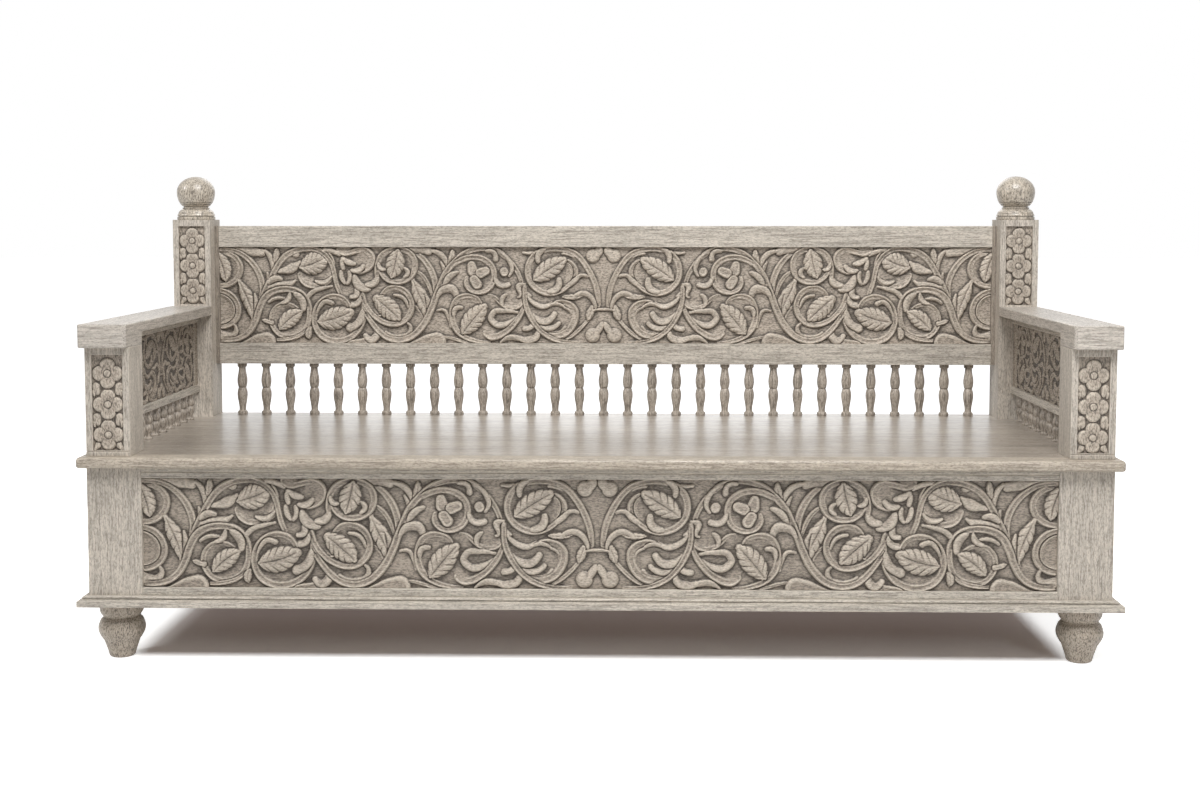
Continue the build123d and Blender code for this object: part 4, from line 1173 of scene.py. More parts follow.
class Shade(Nodes):
    """A material, with its shader and Object coordinates."""

    def __init__(self, name: str) -> None:
        """Starts the material.

        Args:
            name: Its name.
        """
        self.material = bpy.data.materials.new(name)
        self.material.use_nodes = True
        super().__init__(self.material.node_tree)
        self.shader = self.tree.nodes["Principled BSDF"]
        self.place = self.node("TexCoord", "Object", {})

    def link(self, value: Socket, name: str) -> None:
        """Feeds one of the shader's sockets from another node."""
        self.tree.links.new(value, self.shader.inputs[name])

    def set(self, name: str, value: float) -> None:
        """Sets a number that is the same all over the surface on the shader's own socket."""
        self.shader.inputs[name].default_value = value

    def axis(self, name: str) -> Socket:
        """One of the Object coordinates."""
        return self.node("SeparateXYZ", name, {0: self.place})

    def turn_beyond(self, front: float) -> None:
        """Swaps X and Y for what lies in front of a level, so that a board's end has grain across it.

        Args:
            front: The level of Y.
        """
        swapped = self.node("CombineXYZ", "Vector", {"X": self.axis("Y"), "Y": self.axis("X"), "Z": self.axis("Z")})
        before = self.maths("LESS_THAN", self.axis("Y"), front)
        self.place = self.node("Mix", 1, {"Factor": before, 4: self.place, 5: swapped}, data_type="VECTOR")

    def mapped(self, scale: tuple[float, ...], shift: tuple[float, ...] = (0, 0, 0)) -> Socket:
        """Object coordinates, scaled and shifted."""
        return self.node("Mapping", "Vector", {"Vector": self.place, "Scale": scale, "Location": shift})

    def noise(self, where: Socket, scale: float, detail: float = 2.0, rough: float = 0.5, warp: float = 0.0) -> Socket:
        """Cloudy noise from 0 to 1."""
        return self.node("TexNoise", "Fac", {"Vector": where, "Scale": scale, "Detail": detail, "Roughness": rough,
                                             "Distortion": warp})

    def layer(self, pattern: "Pattern", grain: Grain, shift: tuple[float, ...]) -> Socket:
        """A pattern drawn out along the grain, from 0 to 1."""
        where = self.mapped(grain.drawn_out(pattern.stretch), shift)
        return self.noise(where, pattern.scale, pattern.detail, pattern.rough, pattern.warp)

    def attribute(self, name: str) -> Socket:
        """A number stored on the piece's vertices."""
        return self.node("Attribute", "Fac", {}, attribute_name=name)

    def spread(self, value: Socket, low: float, high: float, to_low: float = 0.0, to_high: float = 1.0) -> Socket:
        """A value between low and high, spread smoothly over another range and held at its ends."""
        levels = {"Value": value, "From Min": low, "From Max": high, "To Min": to_low, "To Max": to_high}
        return self.node("MapRange", "Result", levels, interpolation_type="SMOOTHSTEP")

    def blend(self, share: Value, first: Value, second: Value, way: str = "MIX") -> Socket:
        """Two colours mixed, multiplied or otherwise combined by a share."""
        return self.node("Mix", "Result", {"Factor": share, "A": first, "B": second}, data_type="RGBA", blend_type=way)

    def grey(self, value: Socket) -> Socket:
        """A grey colour from one number."""
        return self.node("CombineColor", "Color", {"Red": value, "Green": value, "Blue": value})

    def bump(self, height: Socket, strength: float, distance: float, over: Socket | None = None) -> Socket:
        """A normal roughened by a height in metres, laid over another normal where one is given."""
        under = {} if over is None else {"Normal": over}
        return self.node("Bump", "Normal", {"Height": height, "Strength": strength, "Distance": distance, **under})


@dataclass(frozen=True)
class Pattern:
    """A layer of noise in the wood; below its low level none of it shows, and above its high level all.

    The bump is how strongly it roughens the surface, and it stands so many times the finish's fibre high.
    """

    stretch: float
    scale: float
    detail: float
    rough: float
    warp: float
    low: float
    high: float
    bump: float = 0.0
    stands: float = 0.0


BANDS = Pattern(0.05, 46, 3, 0.55, 0.6, 0.35, 0.66)
STRANDS = Pattern(0.05, 330, 3, 0.60, 0.2, 0.45, 0.64, 0.30, 1.5)
FIBRES = Pattern(0.10, 600, 3, 0.65, 0.1, 0.52, 0.66, 0.50, 1.0)
GRIT = Pattern(0.40, 400, 3, 0.65, 0.0, 0.46, 0.62, 0.30, 0.8)
PATCHES = Pattern(1.0, 4.5, 4, 0.60, 0.0, 0.30, 0.70)
SEED_SHIFT = (3.7, 5.3, 2.9)           # how far one seed's pattern lies from the next one's, in metres
CHISEL_STRETCH = (0.5, 1.0, 1.0)       # the chisel's facets on carving, longer along X
CHISEL_SCALE = 190.0
CHISEL_BUMP = 0.40
PALEST = 240.0                         # the lightest that rubbed edges get, out of 255
OPEN_PORES = (0.35, 0.70)              # levels of the fibres between smooth wood and open pores
LOW_CARVING = (0.02, 0.65)             # heights from where all of the low places' stain and painted shade shows to none of it
POCKETS = (0.53, 0.83)                 # hollows from where no stain and painted shade gathers to all of it
CRESTS = (0.47, 0.27)                  # hollows from where crests get no rubbed wear and painted highlight to all of it
STAIN_AND_SHADE_GRIT = (0.2, 0.8, 0.80, 1.15)    # levels of the grit, and how much of the stain and painted shade each of them keeps
CRUST = (0.38, 0.62, 1.10, 0.78)       # levels of the grit, and how much each of them lightens carving


@dataclass(frozen=True)
class WoodFinish:
    """Weathered wood under a thin pale wash.

    Pale is the washed surface's colour and dark that of open pores. Streaks, pores and speckle are shares
    of dark in long streaks, short pores and a mottling of dashes; bands and patches are how much the broad
    ones change the tone. Gloss is the roughness of the smoothest places and dull how much rougher pores
    are. Wax is how strongly it mirrors, with plain wood at 0.5, and polish the share of a clear coat. Fibre
    and facet are the depths of brushed fibres and of the chisel's facets, in metres. Worn is the share of a
    paler colour on rubbed edges, and its gain how much paler that is. A carved piece stores how high and how
    hollow its carving is. Its stain share is that of the hollow colour, stain with painted shade, in the
    deepest hollows, its low share how much of that low places have anyway, and its rub share that of the
    crest colour, rubbed wear with painted highlight, on crests. In front of end, a level of Y, the grain runs across.
    """

    name: str
    pale: Colour
    dark: Colour = (104, 96, 87)
    streaks: float = 0.48
    pores: float = 0.50
    speckle: float = 0.24
    bands: float = 0.06
    patches: tuple[float, float] = (0.94, 1.05)
    gloss: float = 0.52
    dull: float = 0.25
    wax: float = 0.5
    polish: float = 0.0
    fibre: float = 0.0005
    worn: float = 0.30
    worn_gain: float = 1.10
    carved: bool = False
    # the stain, low stain and hollow colour darken carving's hollows and low places with stain and painted shade; the
    # rub and crest colour lighten its crests with rubbed wear and painted highlight
    stain: float = 0.80
    low_stain: float = 0.08
    hollow: Colour = (54, 46, 38)
    rub: float = 0.50
    crest: Colour = (208, 197, 182)
    facet: float = 0.0012
    end: float | None = None

    def material(self, grain: Grain, seed: int = 0, worn: bool = False) -> bpy.types.Material:
        """The finish with its fibres along one direction, made once for each choice.

        Args:
            grain: Direction of the fibres.
            seed: Shifts the pattern, so that two boards don't share it.
            worn: True for the rubbed edges, which are paler.

        Returns:
            The material.
        """
        name = f"{self.name}_{grain.name.lower()}_{seed}{'_worn' if worn else ''}"
        made = bpy.data.materials.get(name)
        if made:
            return made
        shade = Shade(name)
        if self.end is not None:
            shade.turn_beyond(self.end)
        shift = tuple(seed * step for step in SEED_SHIFT)
        patches, bands, strands, fibres, grit = (
            shade.layer(pattern, grain, shift) for pattern in (PATCHES, BANDS, STRANDS, FIBRES, GRIT))
        colour, dark = linear(*self.pale), linear(*self.dark)
        for noise, pattern, share in ((strands, STRANDS, self.streaks), (fibres, FIBRES, self.pores),
                                      (grit, GRIT, self.speckle)):
            shown = shade.maths("MULTIPLY", shade.spread(noise, pattern.low, pattern.high), share)
            colour = shade.blend(shown, colour, dark)
        cloud = shade.maths("MULTIPLY", shade.spread(patches, PATCHES.low, PATCHES.high, *self.patches),
                            shade.spread(bands, BANDS.low, BANDS.high, 1 + self.bands, 1 - self.bands))
        colour = shade.blend(1.0, colour, shade.grey(cloud), "MULTIPLY")
        if worn:
            paler = linear(*(min(level * self.worn_gain, PALEST) for level in self.pale))
            colour = shade.blend(self.worn, colour, paler)
        if self.carved:
            colour = self._stained(shade, colour, grit)
        shade.link(colour, "Base Color")
        shade.link(shade.spread(fibres, *OPEN_PORES, self.gloss, self.gloss + self.dull), "Roughness")
        shade.set("Specular IOR Level", self.wax)
        if self.polish:
            shade.set("Coat Weight", self.polish)
            shade.set("Coat Roughness", self.gloss)
        normal = None
        for noise, pattern in ((strands, STRANDS), (fibres, FIBRES), (grit, GRIT)):
            normal = shade.bump(noise, pattern.bump, self.fibre * pattern.stands, normal)
        if self.carved:
            facets = shade.noise(shade.mapped(CHISEL_STRETCH, shift), CHISEL_SCALE)
            normal = shade.bump(facets, CHISEL_BUMP, self.facet, normal)
        shade.link(normal, "Normal")
        return shade.material

    def _stained(self, shade: Shade, colour: Socket, grit: Socket) -> Socket:
        """Darkens the hollows and low places with stain and painted shade, and lightens the crests with rubbed wear
        and painted highlight, by the piece's own point values.

        Args:
            shade: The material that is being made.
            colour: Colour of the bare wood.
            grit: The mottling, which breaks the stain and painted shade up.

        Returns:
            The colour with stain and painted shade in the hollows, and rubbed wear and painted highlight on the
            crests.
        """
        crest, hollow = shade.attribute("crest"), shade.attribute("hollow")
        # painted shade with stain: low places and hollows darken towards the hollow colour
        low = shade.maths("MULTIPLY", shade.spread(crest, *LOW_CARVING, 1.0, 0.0), self.stain * self.low_stain)
        pocket_stain_and_shade = shade.maths("MULTIPLY", shade.spread(hollow, *POCKETS), self.stain)
        broken = shade.spread(grit, *STAIN_AND_SHADE_GRIT)
        total = shade.maths("MULTIPLY", shade.maths("MAXIMUM", low, pocket_stain_and_shade), broken)
        colour = shade.blend(total, colour, linear(*self.hollow))
        # painted highlight with rubbed wear: crests lighten towards the crest colour
        rubbed_and_highlight = shade.maths("MULTIPLY", shade.spread(hollow, *CRESTS), self.rub)
        colour = shade.blend(rubbed_and_highlight, colour, linear(*self.crest))
        return shade.blend(1.0, colour, shade.grey(shade.spread(grit, *CRUST)), "MULTIPLY")


@dataclass(frozen=True)
class SteelFinish:
    """Plain steel of the hidden screws, slightly mottled; the bump is its strength and its height in metres."""

    name: str = "screw_steel"
    dark: Colour = (120, 118, 114)
    pale: Colour = (176, 174, 170)
    mottle: float = 900.0
    levels: tuple[float, float] = (0.3, 0.7)
    gloss: tuple[float, float] = (0.28, 0.45)
    bump: tuple[float, float] = (0.2, 0.0002)

    def material(self) -> bpy.types.Material:
        """Makes the finish.

        Returns:
            The material.
        """
        shade = Shade(self.name)
        mottle = shade.noise(shade.mapped((1, 1, 1)), self.mottle, 3, 0.6)
        shade.link(shade.blend(mottle, linear(*self.dark), linear(*self.pale)), "Base Color")
        shade.link(shade.spread(mottle, *self.levels, *self.gloss), "Roughness")
        shade.link(shade.bump(mottle, *self.bump), "Normal")
        shade.set("Metallic", 1.0)
        return shade.material


RAIL_WOOD = WoodFinish("rail_wood", (203, 195, 183), speckle=0.42)
ARM_WOOD = WoodFinish("arm_wood", (201, 193, 183), speckle=0.34, gloss=0.28, wax=0.6, fibre=0.00003, end=-0.3835)
POST_WOOD = WoodFinish("post_wood", (201, 192, 180), streaks=0.40, speckle=0.42)
# painted shade: a darker copy of the post wood for the back stiles, which stand in shade beside the back panel
SHADED_WOOD = WoodFinish("shaded_wood", (150, 140, 128), (80, 71, 62), speckle=0.42)
EDGE_WOOD = WoodFinish("edge_wood", (186, 175, 160), (98, 87, 75), speckle=0.45, gloss=0.34, fibre=0.0003)
SEAT_WOOD = WoodFinish("seat_wood", (168, 158, 146), (88, 79, 70), streaks=0.50, pores=0.42, speckle=0.22,
                       bands=0.18, gloss=0.27, wax=0.9, polish=0.85, fibre=0.00010)
BALL_WOOD = WoodFinish("ball_wood", (202, 191, 175), (66, 55, 43), streaks=0.30, pores=0.30, speckle=0.80,
                       gloss=0.26, wax=0.7, fibre=0.00010)
FOOT_WOOD = WoodFinish("foot_wood", (178, 166, 151), (60, 51, 42), streaks=0.10, pores=0.34, speckle=0.74,
                       gloss=0.36, fibre=0.0002)
SPINDLE_WOOD = WoodFinish("spindle_wood", (182, 171, 158), (72, 63, 54), streaks=0.62, pores=0.40, speckle=0.42,
                          gloss=0.36)
# carved finishes: their hollow colour is stain with painted shade, and their crest colour rubbed wear with painted
# highlight
CARVED_WOOD = WoodFinish("carved_wood", (164, 153, 140), streaks=0.18, pores=0.25, speckle=0.45, carved=True,
                         stain=0.92)
BACK_WOOD = WoodFinish("back_wood", (184, 172, 158), streaks=0.18, pores=0.25, speckle=0.55, carved=True,
                       stain=0.88, rub=0.42)
FLOWER_WOOD = WoodFinish("flower_wood", (176, 164, 150), streaks=0.15, pores=0.25, speckle=0.70, carved=True,
                         stain=0.80, rub=0.42)
SIDE_WOOD = WoodFinish("side_wood", (166, 154, 140), (74, 65, 56), streaks=0.35, pores=0.35, speckle=0.60,
                       carved=True, stain=0.86, hollow=(46, 38, 31), rub=0.25, crest=(196, 185, 170))
INNER_WOOD = WoodFinish("inner_wood", (160, 140, 112), (104, 84, 62), streaks=0.5, speckle=0.3, gloss=0.6)


# ---------------------------------------------------------------- sub-assemblies

class Side(Enum):
    """The two ends of the bench, as the sign of X."""

    LEFT = -1
    RIGHT = 1

    @property
    def word(self) -> str:
        """The word that ends the names of this side's pieces."""
        return self.name.lower()


def settle(piece: bpy.types.Object, slot: str, material: bpy.types.Material, *nodes: str) -> None:
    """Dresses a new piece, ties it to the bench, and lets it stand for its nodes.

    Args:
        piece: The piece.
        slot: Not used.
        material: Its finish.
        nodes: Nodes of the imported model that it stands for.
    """
    piece.data.materials.append(material)
    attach(piece, BODY)
    if nodes:
        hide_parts(*nodes)
    LOG.info("%s: %d faces", piece.name, len(piece.data.polygons))


@dataclass
class Joinery:
    """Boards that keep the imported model's own solids, with eased and rubbed edges."""

    ease: float = 0.0011
    weld: float = 0.00001
    rounds: int = 2
    sharp: float = 40.0

    def dress(self, node: str, finish: WoodFinish, grain: Grain, seed: int = 0, ease: float | None = None) -> None:
        """Gives a node its wood and eases its square edges.

        Args:
            node: Name of the node.
            finish: Its wood.
            grain: Direction of its fibres.
            seed: Shifts the pattern.
            ease: Width of the eased edge, if it isn't the usual one.
        """
        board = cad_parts[node]
        materials = board.data.materials
        while len(materials) < 2:
            materials.append(None)
        board.material_slots[0].material = finish.material(grain, seed)
        board.material_slots[1].material = finish.material(grain, seed, worn=True)
        joined = board.modifiers.new("join", "WELD")
        joined.merge_threshold = self.weld
        eased = board.modifiers.new("ease", "BEVEL")
        eased.width = self.ease if ease is None else ease
        eased.segments = self.rounds
        eased.limit_method = "ANGLE"
        eased.angle_limit = math.radians(self.sharp)
        eased.material = 1
        eased.use_clamp_overlap = True
        LOG.info("%s: %s", node, finish.name)


@dataclass
class ScrollCarving:
    """The scroll drawing worked out at each size that a panel needs."""

    pitch: float = 1.3
    half: Array = field(init=False)

    def __post_init__(self) -> None:
        """Works out the left half of the long panels."""
        columns, rows = 2 * round(DRAWING_WIDTH / self.pitch / 2) + 1, round(DRAWING_HEIGHT / self.pitch) + 1
        relief = Relief(0, DRAWING_WIDTH, DRAWING_HEIGHT, columns, rows)
        self.half = with_hollows(relief.carve(SCROLLWORK).shares())

    def quarters(self) -> list[tuple[str, tuple[float, float], Array]]:
        """Cuts a long panel into quarters.

        Returns:
            Each one's name, its stretch of the width, and its layers.
        """
        middle = self.half.shape[-1] // 2
        outer, inner = self.half[..., :middle + 1], self.half[..., middle:]
        return [("left_outer", (0.0, 0.25), outer), ("left_inner", (0.25, 0.5), inner),
                ("right_inner", (0.5, 0.75), inner[..., ::-1]), ("right_outer", (0.75, 1.0), outer[..., ::-1])]

    def middle(self, width: float, height: float, pitch: float) -> Array:
        """Works out the drawing about its middle for a shorter panel.

        Args:
            width: Width of the panel, in millimetres.
            height: Its height.
            pitch: Distance between its grid points.

        Returns:
            The heights as shares of the depth.
        """
        low = DRAWING_WIDTH - width / 2 * DRAWING_HEIGHT / height
        columns, rows = round(width / 2 / pitch) + 1, round(height / pitch) + 1
        return mirrored(Relief(low, DRAWING_WIDTH, DRAWING_HEIGHT, columns, rows).carve(SCROLLWORK).shares())


@dataclass(frozen=True)
class LongPanel:
    """A carved panel along the bench, in four stretches that meet edge to edge."""

    name: str
    node: str
    uprights: tuple[str, str]
    rails: tuple[str, str]
    finish: WoodFinish
    grain_seed: int
    chisel_seed: int
    depth: float = 0.009
    thickness: float = 0.020
    tongue: tuple[float, float, float] = (0.010, 0.020, 0.007)

    def build(self, scrolls: ScrollCarving) -> None:
        """Carves the panel between its rails and uprights.

        Args:
            scrolls: The carving.
        """
        sill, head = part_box(self.rails[0])[1].z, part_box(self.rails[1])[0].z
        low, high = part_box(self.uprights[0])[1].x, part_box(self.uprights[1])[0].x
        face = Face((low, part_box(self.node)[0].y, sill), (1, 0, 0), high - low, head - sill)
        panel = CarvedPanel(face, self.thickness, self.depth, self.tongue)
        for word, part, layers in scrolls.quarters():
            piece = panel.build(f"{self.name}_{word}", layers, part=part, seed=self.chisel_seed)
            settle(piece, "carved_wood", self.finish.material(Grain.ALONG_X, self.grain_seed), self.node)


@dataclass(frozen=True)
class FlowerField:
    """The carved field sunk in a post's front: flowers up its middle with buds between them.

    Its width, its depth and the lip that its ground stays short of that are in metres, and the rest in
    millimetres. The radii are how far a petal's middle lies out from the flower's, its own, and the button's.
    Buds and corners stand that far from the middle line, and each of their lobes is given by how far out
    and up its two ends lie and by its two half widths.
    """

    width: float = 0.063
    sunk: float = 0.0068
    lip: float = 0.0009
    pitch: float = 0.9
    relief: float = 6.6
    skirt: float = 2.5
    radii: tuple[float, float, float] = (15.8, 15.4, 7.0)
    bud: float = 22.5
    bud_lobes: tuple[tuple[float, ...], ...] = ((-1, -6, 1, 5, 6.0, 7.5), (5, -13, 6, -5, 2.0, 3.6))
    corner: float = 24.0
    corner_lobe: tuple[float, ...] = (-3, 4, 4, -7, 6.0, 3.0)
    lowest: float = 2.0

    def strokes(self, half: float, centres: tuple[float, ...]) -> tuple[Stroke, ...]:
        """Draws the field.

        Args:
            half: Half the field's width, which is the drawing's middle line.
            centres: Heights of the flowers' middles above the field's foot.

        Returns:
            The strokes, the lowest-lying ones first.
        """
        strokes: list[Stroke] = []
        for level in [(low + high) / 2 for low, high in zip(centres, centres[1:])]:
            for side in (-1, 1):
                strokes += [self._lobe(half + side * self.bud, level, side, lobe) for lobe in self.bud_lobes]
        for side in (-1, 1):
            strokes.append(self._lobe(half + side * self.corner, centres[0] - self.corner, side, self.corner_lobe))
        return tuple(strokes + [Stroke(Cut.FLOWER, (half, level), self.radii) for level in centres])

    def _lobe(self, x: float, level: float, side: int, lobe: tuple[float, ...]) -> Stroke:
        """Places one lobe beside the flowers.

        Args:
            x: How far right it stands.
            level: How high it stands.
            side: One on the right of the middle line and minus one on its left.
            lobe: Its ends and widths.

        Returns:
            Its stroke, with no end below the lowest level.
        """
        near, low, far, high = lobe[:4]
        path = (x + side * near, level + low, x + side * far, max(level + high, self.lowest))
        return Stroke(Cut.LOBE, path, lobe[4:])

    def build(self, name: str, post: str, foot: float, top: float, centres: tuple[float, ...], seed: int) -> None:
        """Carves the field of one post.

        Args:
            name: Name of the piece.
            post: The post's node.
            foot: Z of the field's lower edge.
            top: Z of its upper edge.
            centres: Heights of the flowers' middles above the foot, in millimetres.
            seed: Seed of the chisel's unevenness.
        """
        low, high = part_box(post)
        wide, tall = self.width / MM, (top - foot) / MM
        relief = Relief(0, wide, tall, round(wide / self.pitch) + 1, round(tall / self.pitch) + 1,
                        depth=self.relief, skirt=self.skirt)
        relief.carve(self.strokes(wide / 2, centres))
        face = Face(((low.x + high.x) / 2 - self.width / 2, low.y, foot), (1, 0, 0), self.width, top - foot)
        panel = CarvedPanel(face, self.sunk, self.sunk - self.lip, gap=0.00006, unevenness=0.0001)
        piece = panel.build(name, with_hollows(relief.shares()), seed=seed)
        settle(piece, "carved_wood", FLOWER_WOOD.material(Grain.ALONG_Z, 4))


@dataclass(frozen=True)
class SpindleRow:
    """A row of turned spindles between the seat and a rail; radii in millimetres."""

    node: str
    rail: str
    count: int
    run: Grain
    seed: int
    wide: float = 12.4
    neck: float = 8.3
    around: int = 28

    def turning(self, long: float) -> Turning:
        """Draws a double-vase spindle between two collars, without the pins that its holes hide.

        Args:
            long: Its length, in millimetres.

        Returns:
            The outline from the seat up.
        """
        wide, neck = self.wide, self.neck
        return Turning((
            Station(0.0, wide * 0.90), Station(long * 0.035, wide * 0.96, Run.SWELL, 2),
            Station(long * 0.068, wide * 0.90, Run.TUCK, 2), Station(long * 0.078, neck * 1.02),
            Station(long * 0.10, neck * 0.97), Station(long * 0.40, wide, Run.WAVE, 8),
            Station(long * 0.515, neck * 1.16, Run.TUCK, 4), Station(long * 0.525, neck * 1.02),
            Station(long * 0.535, neck * 1.20), Station(long * 0.66, wide * 0.98, Run.SWELL, 5),
            Station(long * 0.905, neck, Run.WAVE, 7), Station(long * 0.922, neck * 1.02),
            Station(long * 0.930, wide * 0.88), Station(long * 0.965, wide * 0.93, Run.SWELL, 2),
            Station(long, wide * 0.86, Run.TUCK, 2)))

    def build(self) -> None:
        """Turns the row as one piece."""
        low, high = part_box(self.node)
        foot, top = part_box("seat_board_1")[1].z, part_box(self.rail)[0].z
        run, beside = self.run.value, 1 - self.run.value
        radius, middle = (high[beside] - low[beside]) / 2, (low[beside] + high[beside]) / 2
        places = []
        for spot in np.linspace(low[run] + radius, high[run] - radius, self.count):
            place = [middle, middle, foot]
            place[run] = spot
            places.append(tuple(place))
        piece = self.turning((top - foot) / MM).build(f"turned_{self.node}", places, self.around)
        settle(piece, "turned_wood", SPINDLE_WOOD.material(Grain.ALONG_Z, self.seed), self.node)


@dataclass
class BoxBase:
    """The panelled box on its four turned feet."""

    joinery: Joinery
    moulded: float = 0.0006
    foot: Turning = Turning((
        Station(0.4, 21.5), Station(0.9, 23.5, Run.SWELL, 2), Station(5.0, 26.6, Run.SWELL, 5),
        Station(12.0, 28.2, Run.WAVE, 3), Station(35.0, 36.0, Run.STRAIGHT, 5), Station(60.5, 47.3, Run.SWELL, 12),
        Station(77.5, 42.6, Run.TUCK, 8), Station(83.2, 37.0, Run.STRAIGHT, 3), Station(84.6, 36.0),
        Station(86.0, 37.8, Run.SWELL, 3), Station(99.5, 44.2, Run.SWELL, 8), Station(114.6, 44.5, Run.STRAIGHT, 2)))
    foot_around: int = 96
    front: LongPanel = LongPanel("front_carving", "front_carved_panel",
                                 ("corner_post_front_left", "corner_post_front_right"),
                                 ("front_bottom_rail", "front_top_rail"), CARVED_WOOD, 1, 11)
    end_depth: float = 0.007
    end_pitch: float = 2.0

    def boards(self) -> None:
        """Mouldings, rails, corner posts and the plain rear panel."""
        for depth in ("front", "rear"):
            self.joinery.dress(f"plinth_{depth}", RAIL_WOOD, Grain.ALONG_X, 1, self.moulded)
            for level in ("top", "bottom"):
                self.joinery.dress(f"{depth}_{level}_rail", RAIL_WOOD, Grain.ALONG_X, 2)
            for side in Side:
                self.joinery.dress(f"corner_post_{depth}_{side.word}", POST_WOOD, Grain.ALONG_Z, 2 + side.value)
        for side in Side:
            self.joinery.dress(f"plinth_{side.word}", RAIL_WOOD, Grain.ALONG_Y, 1, self.moulded)
            for level in ("top", "bottom"):
                self.joinery.dress(f"end_{level}_rail_{side.word}", RAIL_WOOD, Grain.ALONG_Y, 2)
        self.joinery.dress("rear_panel", RAIL_WOOD, Grain.ALONG_X, 5)

    def feet(self) -> None:
        """The four feet."""
        for depth in ("front", "rear"):
            for side in Side:
                node = f"foot_{depth}_{side.word}"
                low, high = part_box(node)
                middle = (low + high) / 2
                piece = self.foot.build(f"turned_{node}", [(middle.x, middle.y, 0.0)], self.foot_around)
                settle(piece, "turned_wood", FOOT_WOOD.material(Grain.ALONG_Z, 3 + side.value), node)

    def panels(self, scrolls: ScrollCarving) -> None:
        """Carves the front and the ends.

        Args:
            scrolls: The carving.
        """
        self.front.build(scrolls)
        sill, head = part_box(self.front.rails[0])[1].z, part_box(self.front.rails[1])[0].z
        near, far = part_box("corner_post_front_left")[1].y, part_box("corner_post_rear_left")[0].y
        ends = with_hollows(scrolls.middle((far - near) / MM, (head - sill) / MM, self.end_pitch))
        for side in Side:
            low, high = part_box(f"end_panel_{side.word}")
            reach, start = (high.x, near) if side is Side.RIGHT else (low.x, far)
            face = Face((reach, start, sill), (0, side.value, 0), far - near, head - sill)
            panel = CarvedPanel(face, self.front.thickness, self.end_depth, self.front.tongue)
            piece = panel.build(f"end_carving_{side.word}", ends, seed=21 + side.value)
            settle(piece, "carved_wood", CARVED_WOOD.material(Grain.ALONG_Y, 2), f"end_panel_{side.word}")


@dataclass
class Seat:
    """The boarded seat and what carries it."""

    joinery: Joinery
    boards: int = 6
    bearers: int = 3
    eased: float = 0.0005

    def dress(self) -> None:
        """Wood on the boards, ledgers and bearers, and steel on the screws."""
        self.joinery.dress("seat_nosing", EDGE_WOOD, Grain.ALONG_X, 1, self.eased)
        for index in range(self.boards):
            self.joinery.dress(f"seat_board_{index + 1}", SEAT_WOOD, Grain.ALONG_X, 2 + index % 5, self.eased)
        for index in range(self.bearers):
            self.joinery.dress(f"seat_bearer_{index + 1}", INNER_WOOD, Grain.ALONG_Y, index)
        for depth in ("front", "rear"):
            self.joinery.dress(f"seat_ledger_{depth}", INNER_WOOD, Grain.ALONG_X, 1)
        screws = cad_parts["seat_screws"]
        screws.material_slots[0].material = SteelFinish().material()


@dataclass
class ArmSide:
    """One arm: its post with the carved field, its rail, and the panelled side over short spindles.

    Flowers, the plain strip beside the rear post and the grid's pitch are in millimetres. The margins are
    what the field leaves over the seat and under the rail, and the tongue is its half thickness and reach.
    """

    joinery: Joinery
    side: Side
    spindles: int = 9
    flowers_at: tuple[float, ...] = (31.0, 93.0, 156.0)
    field_margins: tuple[float, float] = (0.012, 0.015)
    panel_depth: float = 0.0045
    tongue: tuple[float, float] = (0.003, 0.007)
    plain_strip: float = 30.0
    pitch: float = 1.8

    def boards(self) -> None:
        """The arm post, arm rail and the side frame's rails."""
        word, seed = self.side.word, 5 + self.side.value
        self.joinery.dress(f"arm_post_{word}", POST_WOOD, Grain.ALONG_Z, seed)
        self.joinery.dress(f"arm_rail_{word}", ARM_WOOD, Grain.ALONG_Y, seed)
        self.joinery.dress(f"side_top_rail_{word}", RAIL_WOOD, Grain.ALONG_Y, 3)
        self.joinery.dress(f"side_lower_rail_{word}", RAIL_WOOD, Grain.ALONG_Y, 4)

    def row(self) -> None:
        """The row of short spindles between the seat and the side frame."""
        word = self.side.word
        SpindleRow(f"side_spindles_{word}", f"side_lower_rail_{word}", self.spindles, Grain.ALONG_Y, 1).build()

    def panel(self, scrolls: ScrollCarving) -> None:
        """Carves the side panel on both faces, with a plain strip beside the rear post.

        Args:
            scrolls: The carving.
        """
        word, sign = self.side.word, self.side.value
        sill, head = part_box(f"side_lower_rail_{word}")[1].z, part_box(f"side_top_rail_{word}")[0].z
        near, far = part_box(f"arm_post_{word}")[1].y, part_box(f"back_post_{word}")[0].y
        low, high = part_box(f"side_carved_panel_{word}")
        width, height = (far - near) / MM, (head - sill) / MM
        carved = scrolls.middle(width - self.plain_strip, height, self.pitch)
        strip = np.ones((carved.shape[0], round(self.plain_strip / self.pitch)))
        strip[:, 0] = 0.0
        inner = with_hollows(np.hstack([carved, strip]))
        if self.side is Side.RIGHT:
            inner = inner[..., ::-1]
        reach, start = (high.x, near) if self.side is Side.LEFT else (low.x, far)
        face = Face((reach, start, sill), (0, -sign, 0), far - near, head - sill)
        thickness = high.x - low.x
        half, groove = self.tongue
        panel = CarvedPanel(face, thickness, self.panel_depth, (thickness / 2 - half, thickness / 2 + half, groove))
        piece = panel.build(f"side_carving_{word}", inner, inner[..., ::-1], seed=31 + sign)
        settle(piece, "carved_wood", SIDE_WOOD.material(Grain.ALONG_Y, 3), f"side_carved_panel_{word}")

    def flowers(self) -> None:
        """The three flowers let into the arm post's front."""
        word, (under, over) = self.side.word, self.field_margins
        foot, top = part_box("seat_board_1")[1].z + under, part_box(f"arm_rail_{word}")[0].z - over
        FlowerField().build(f"arm_post_flowers_{word}", f"arm_post_{word}", foot, top, self.flowers_at,
                            41 + self.side.value)


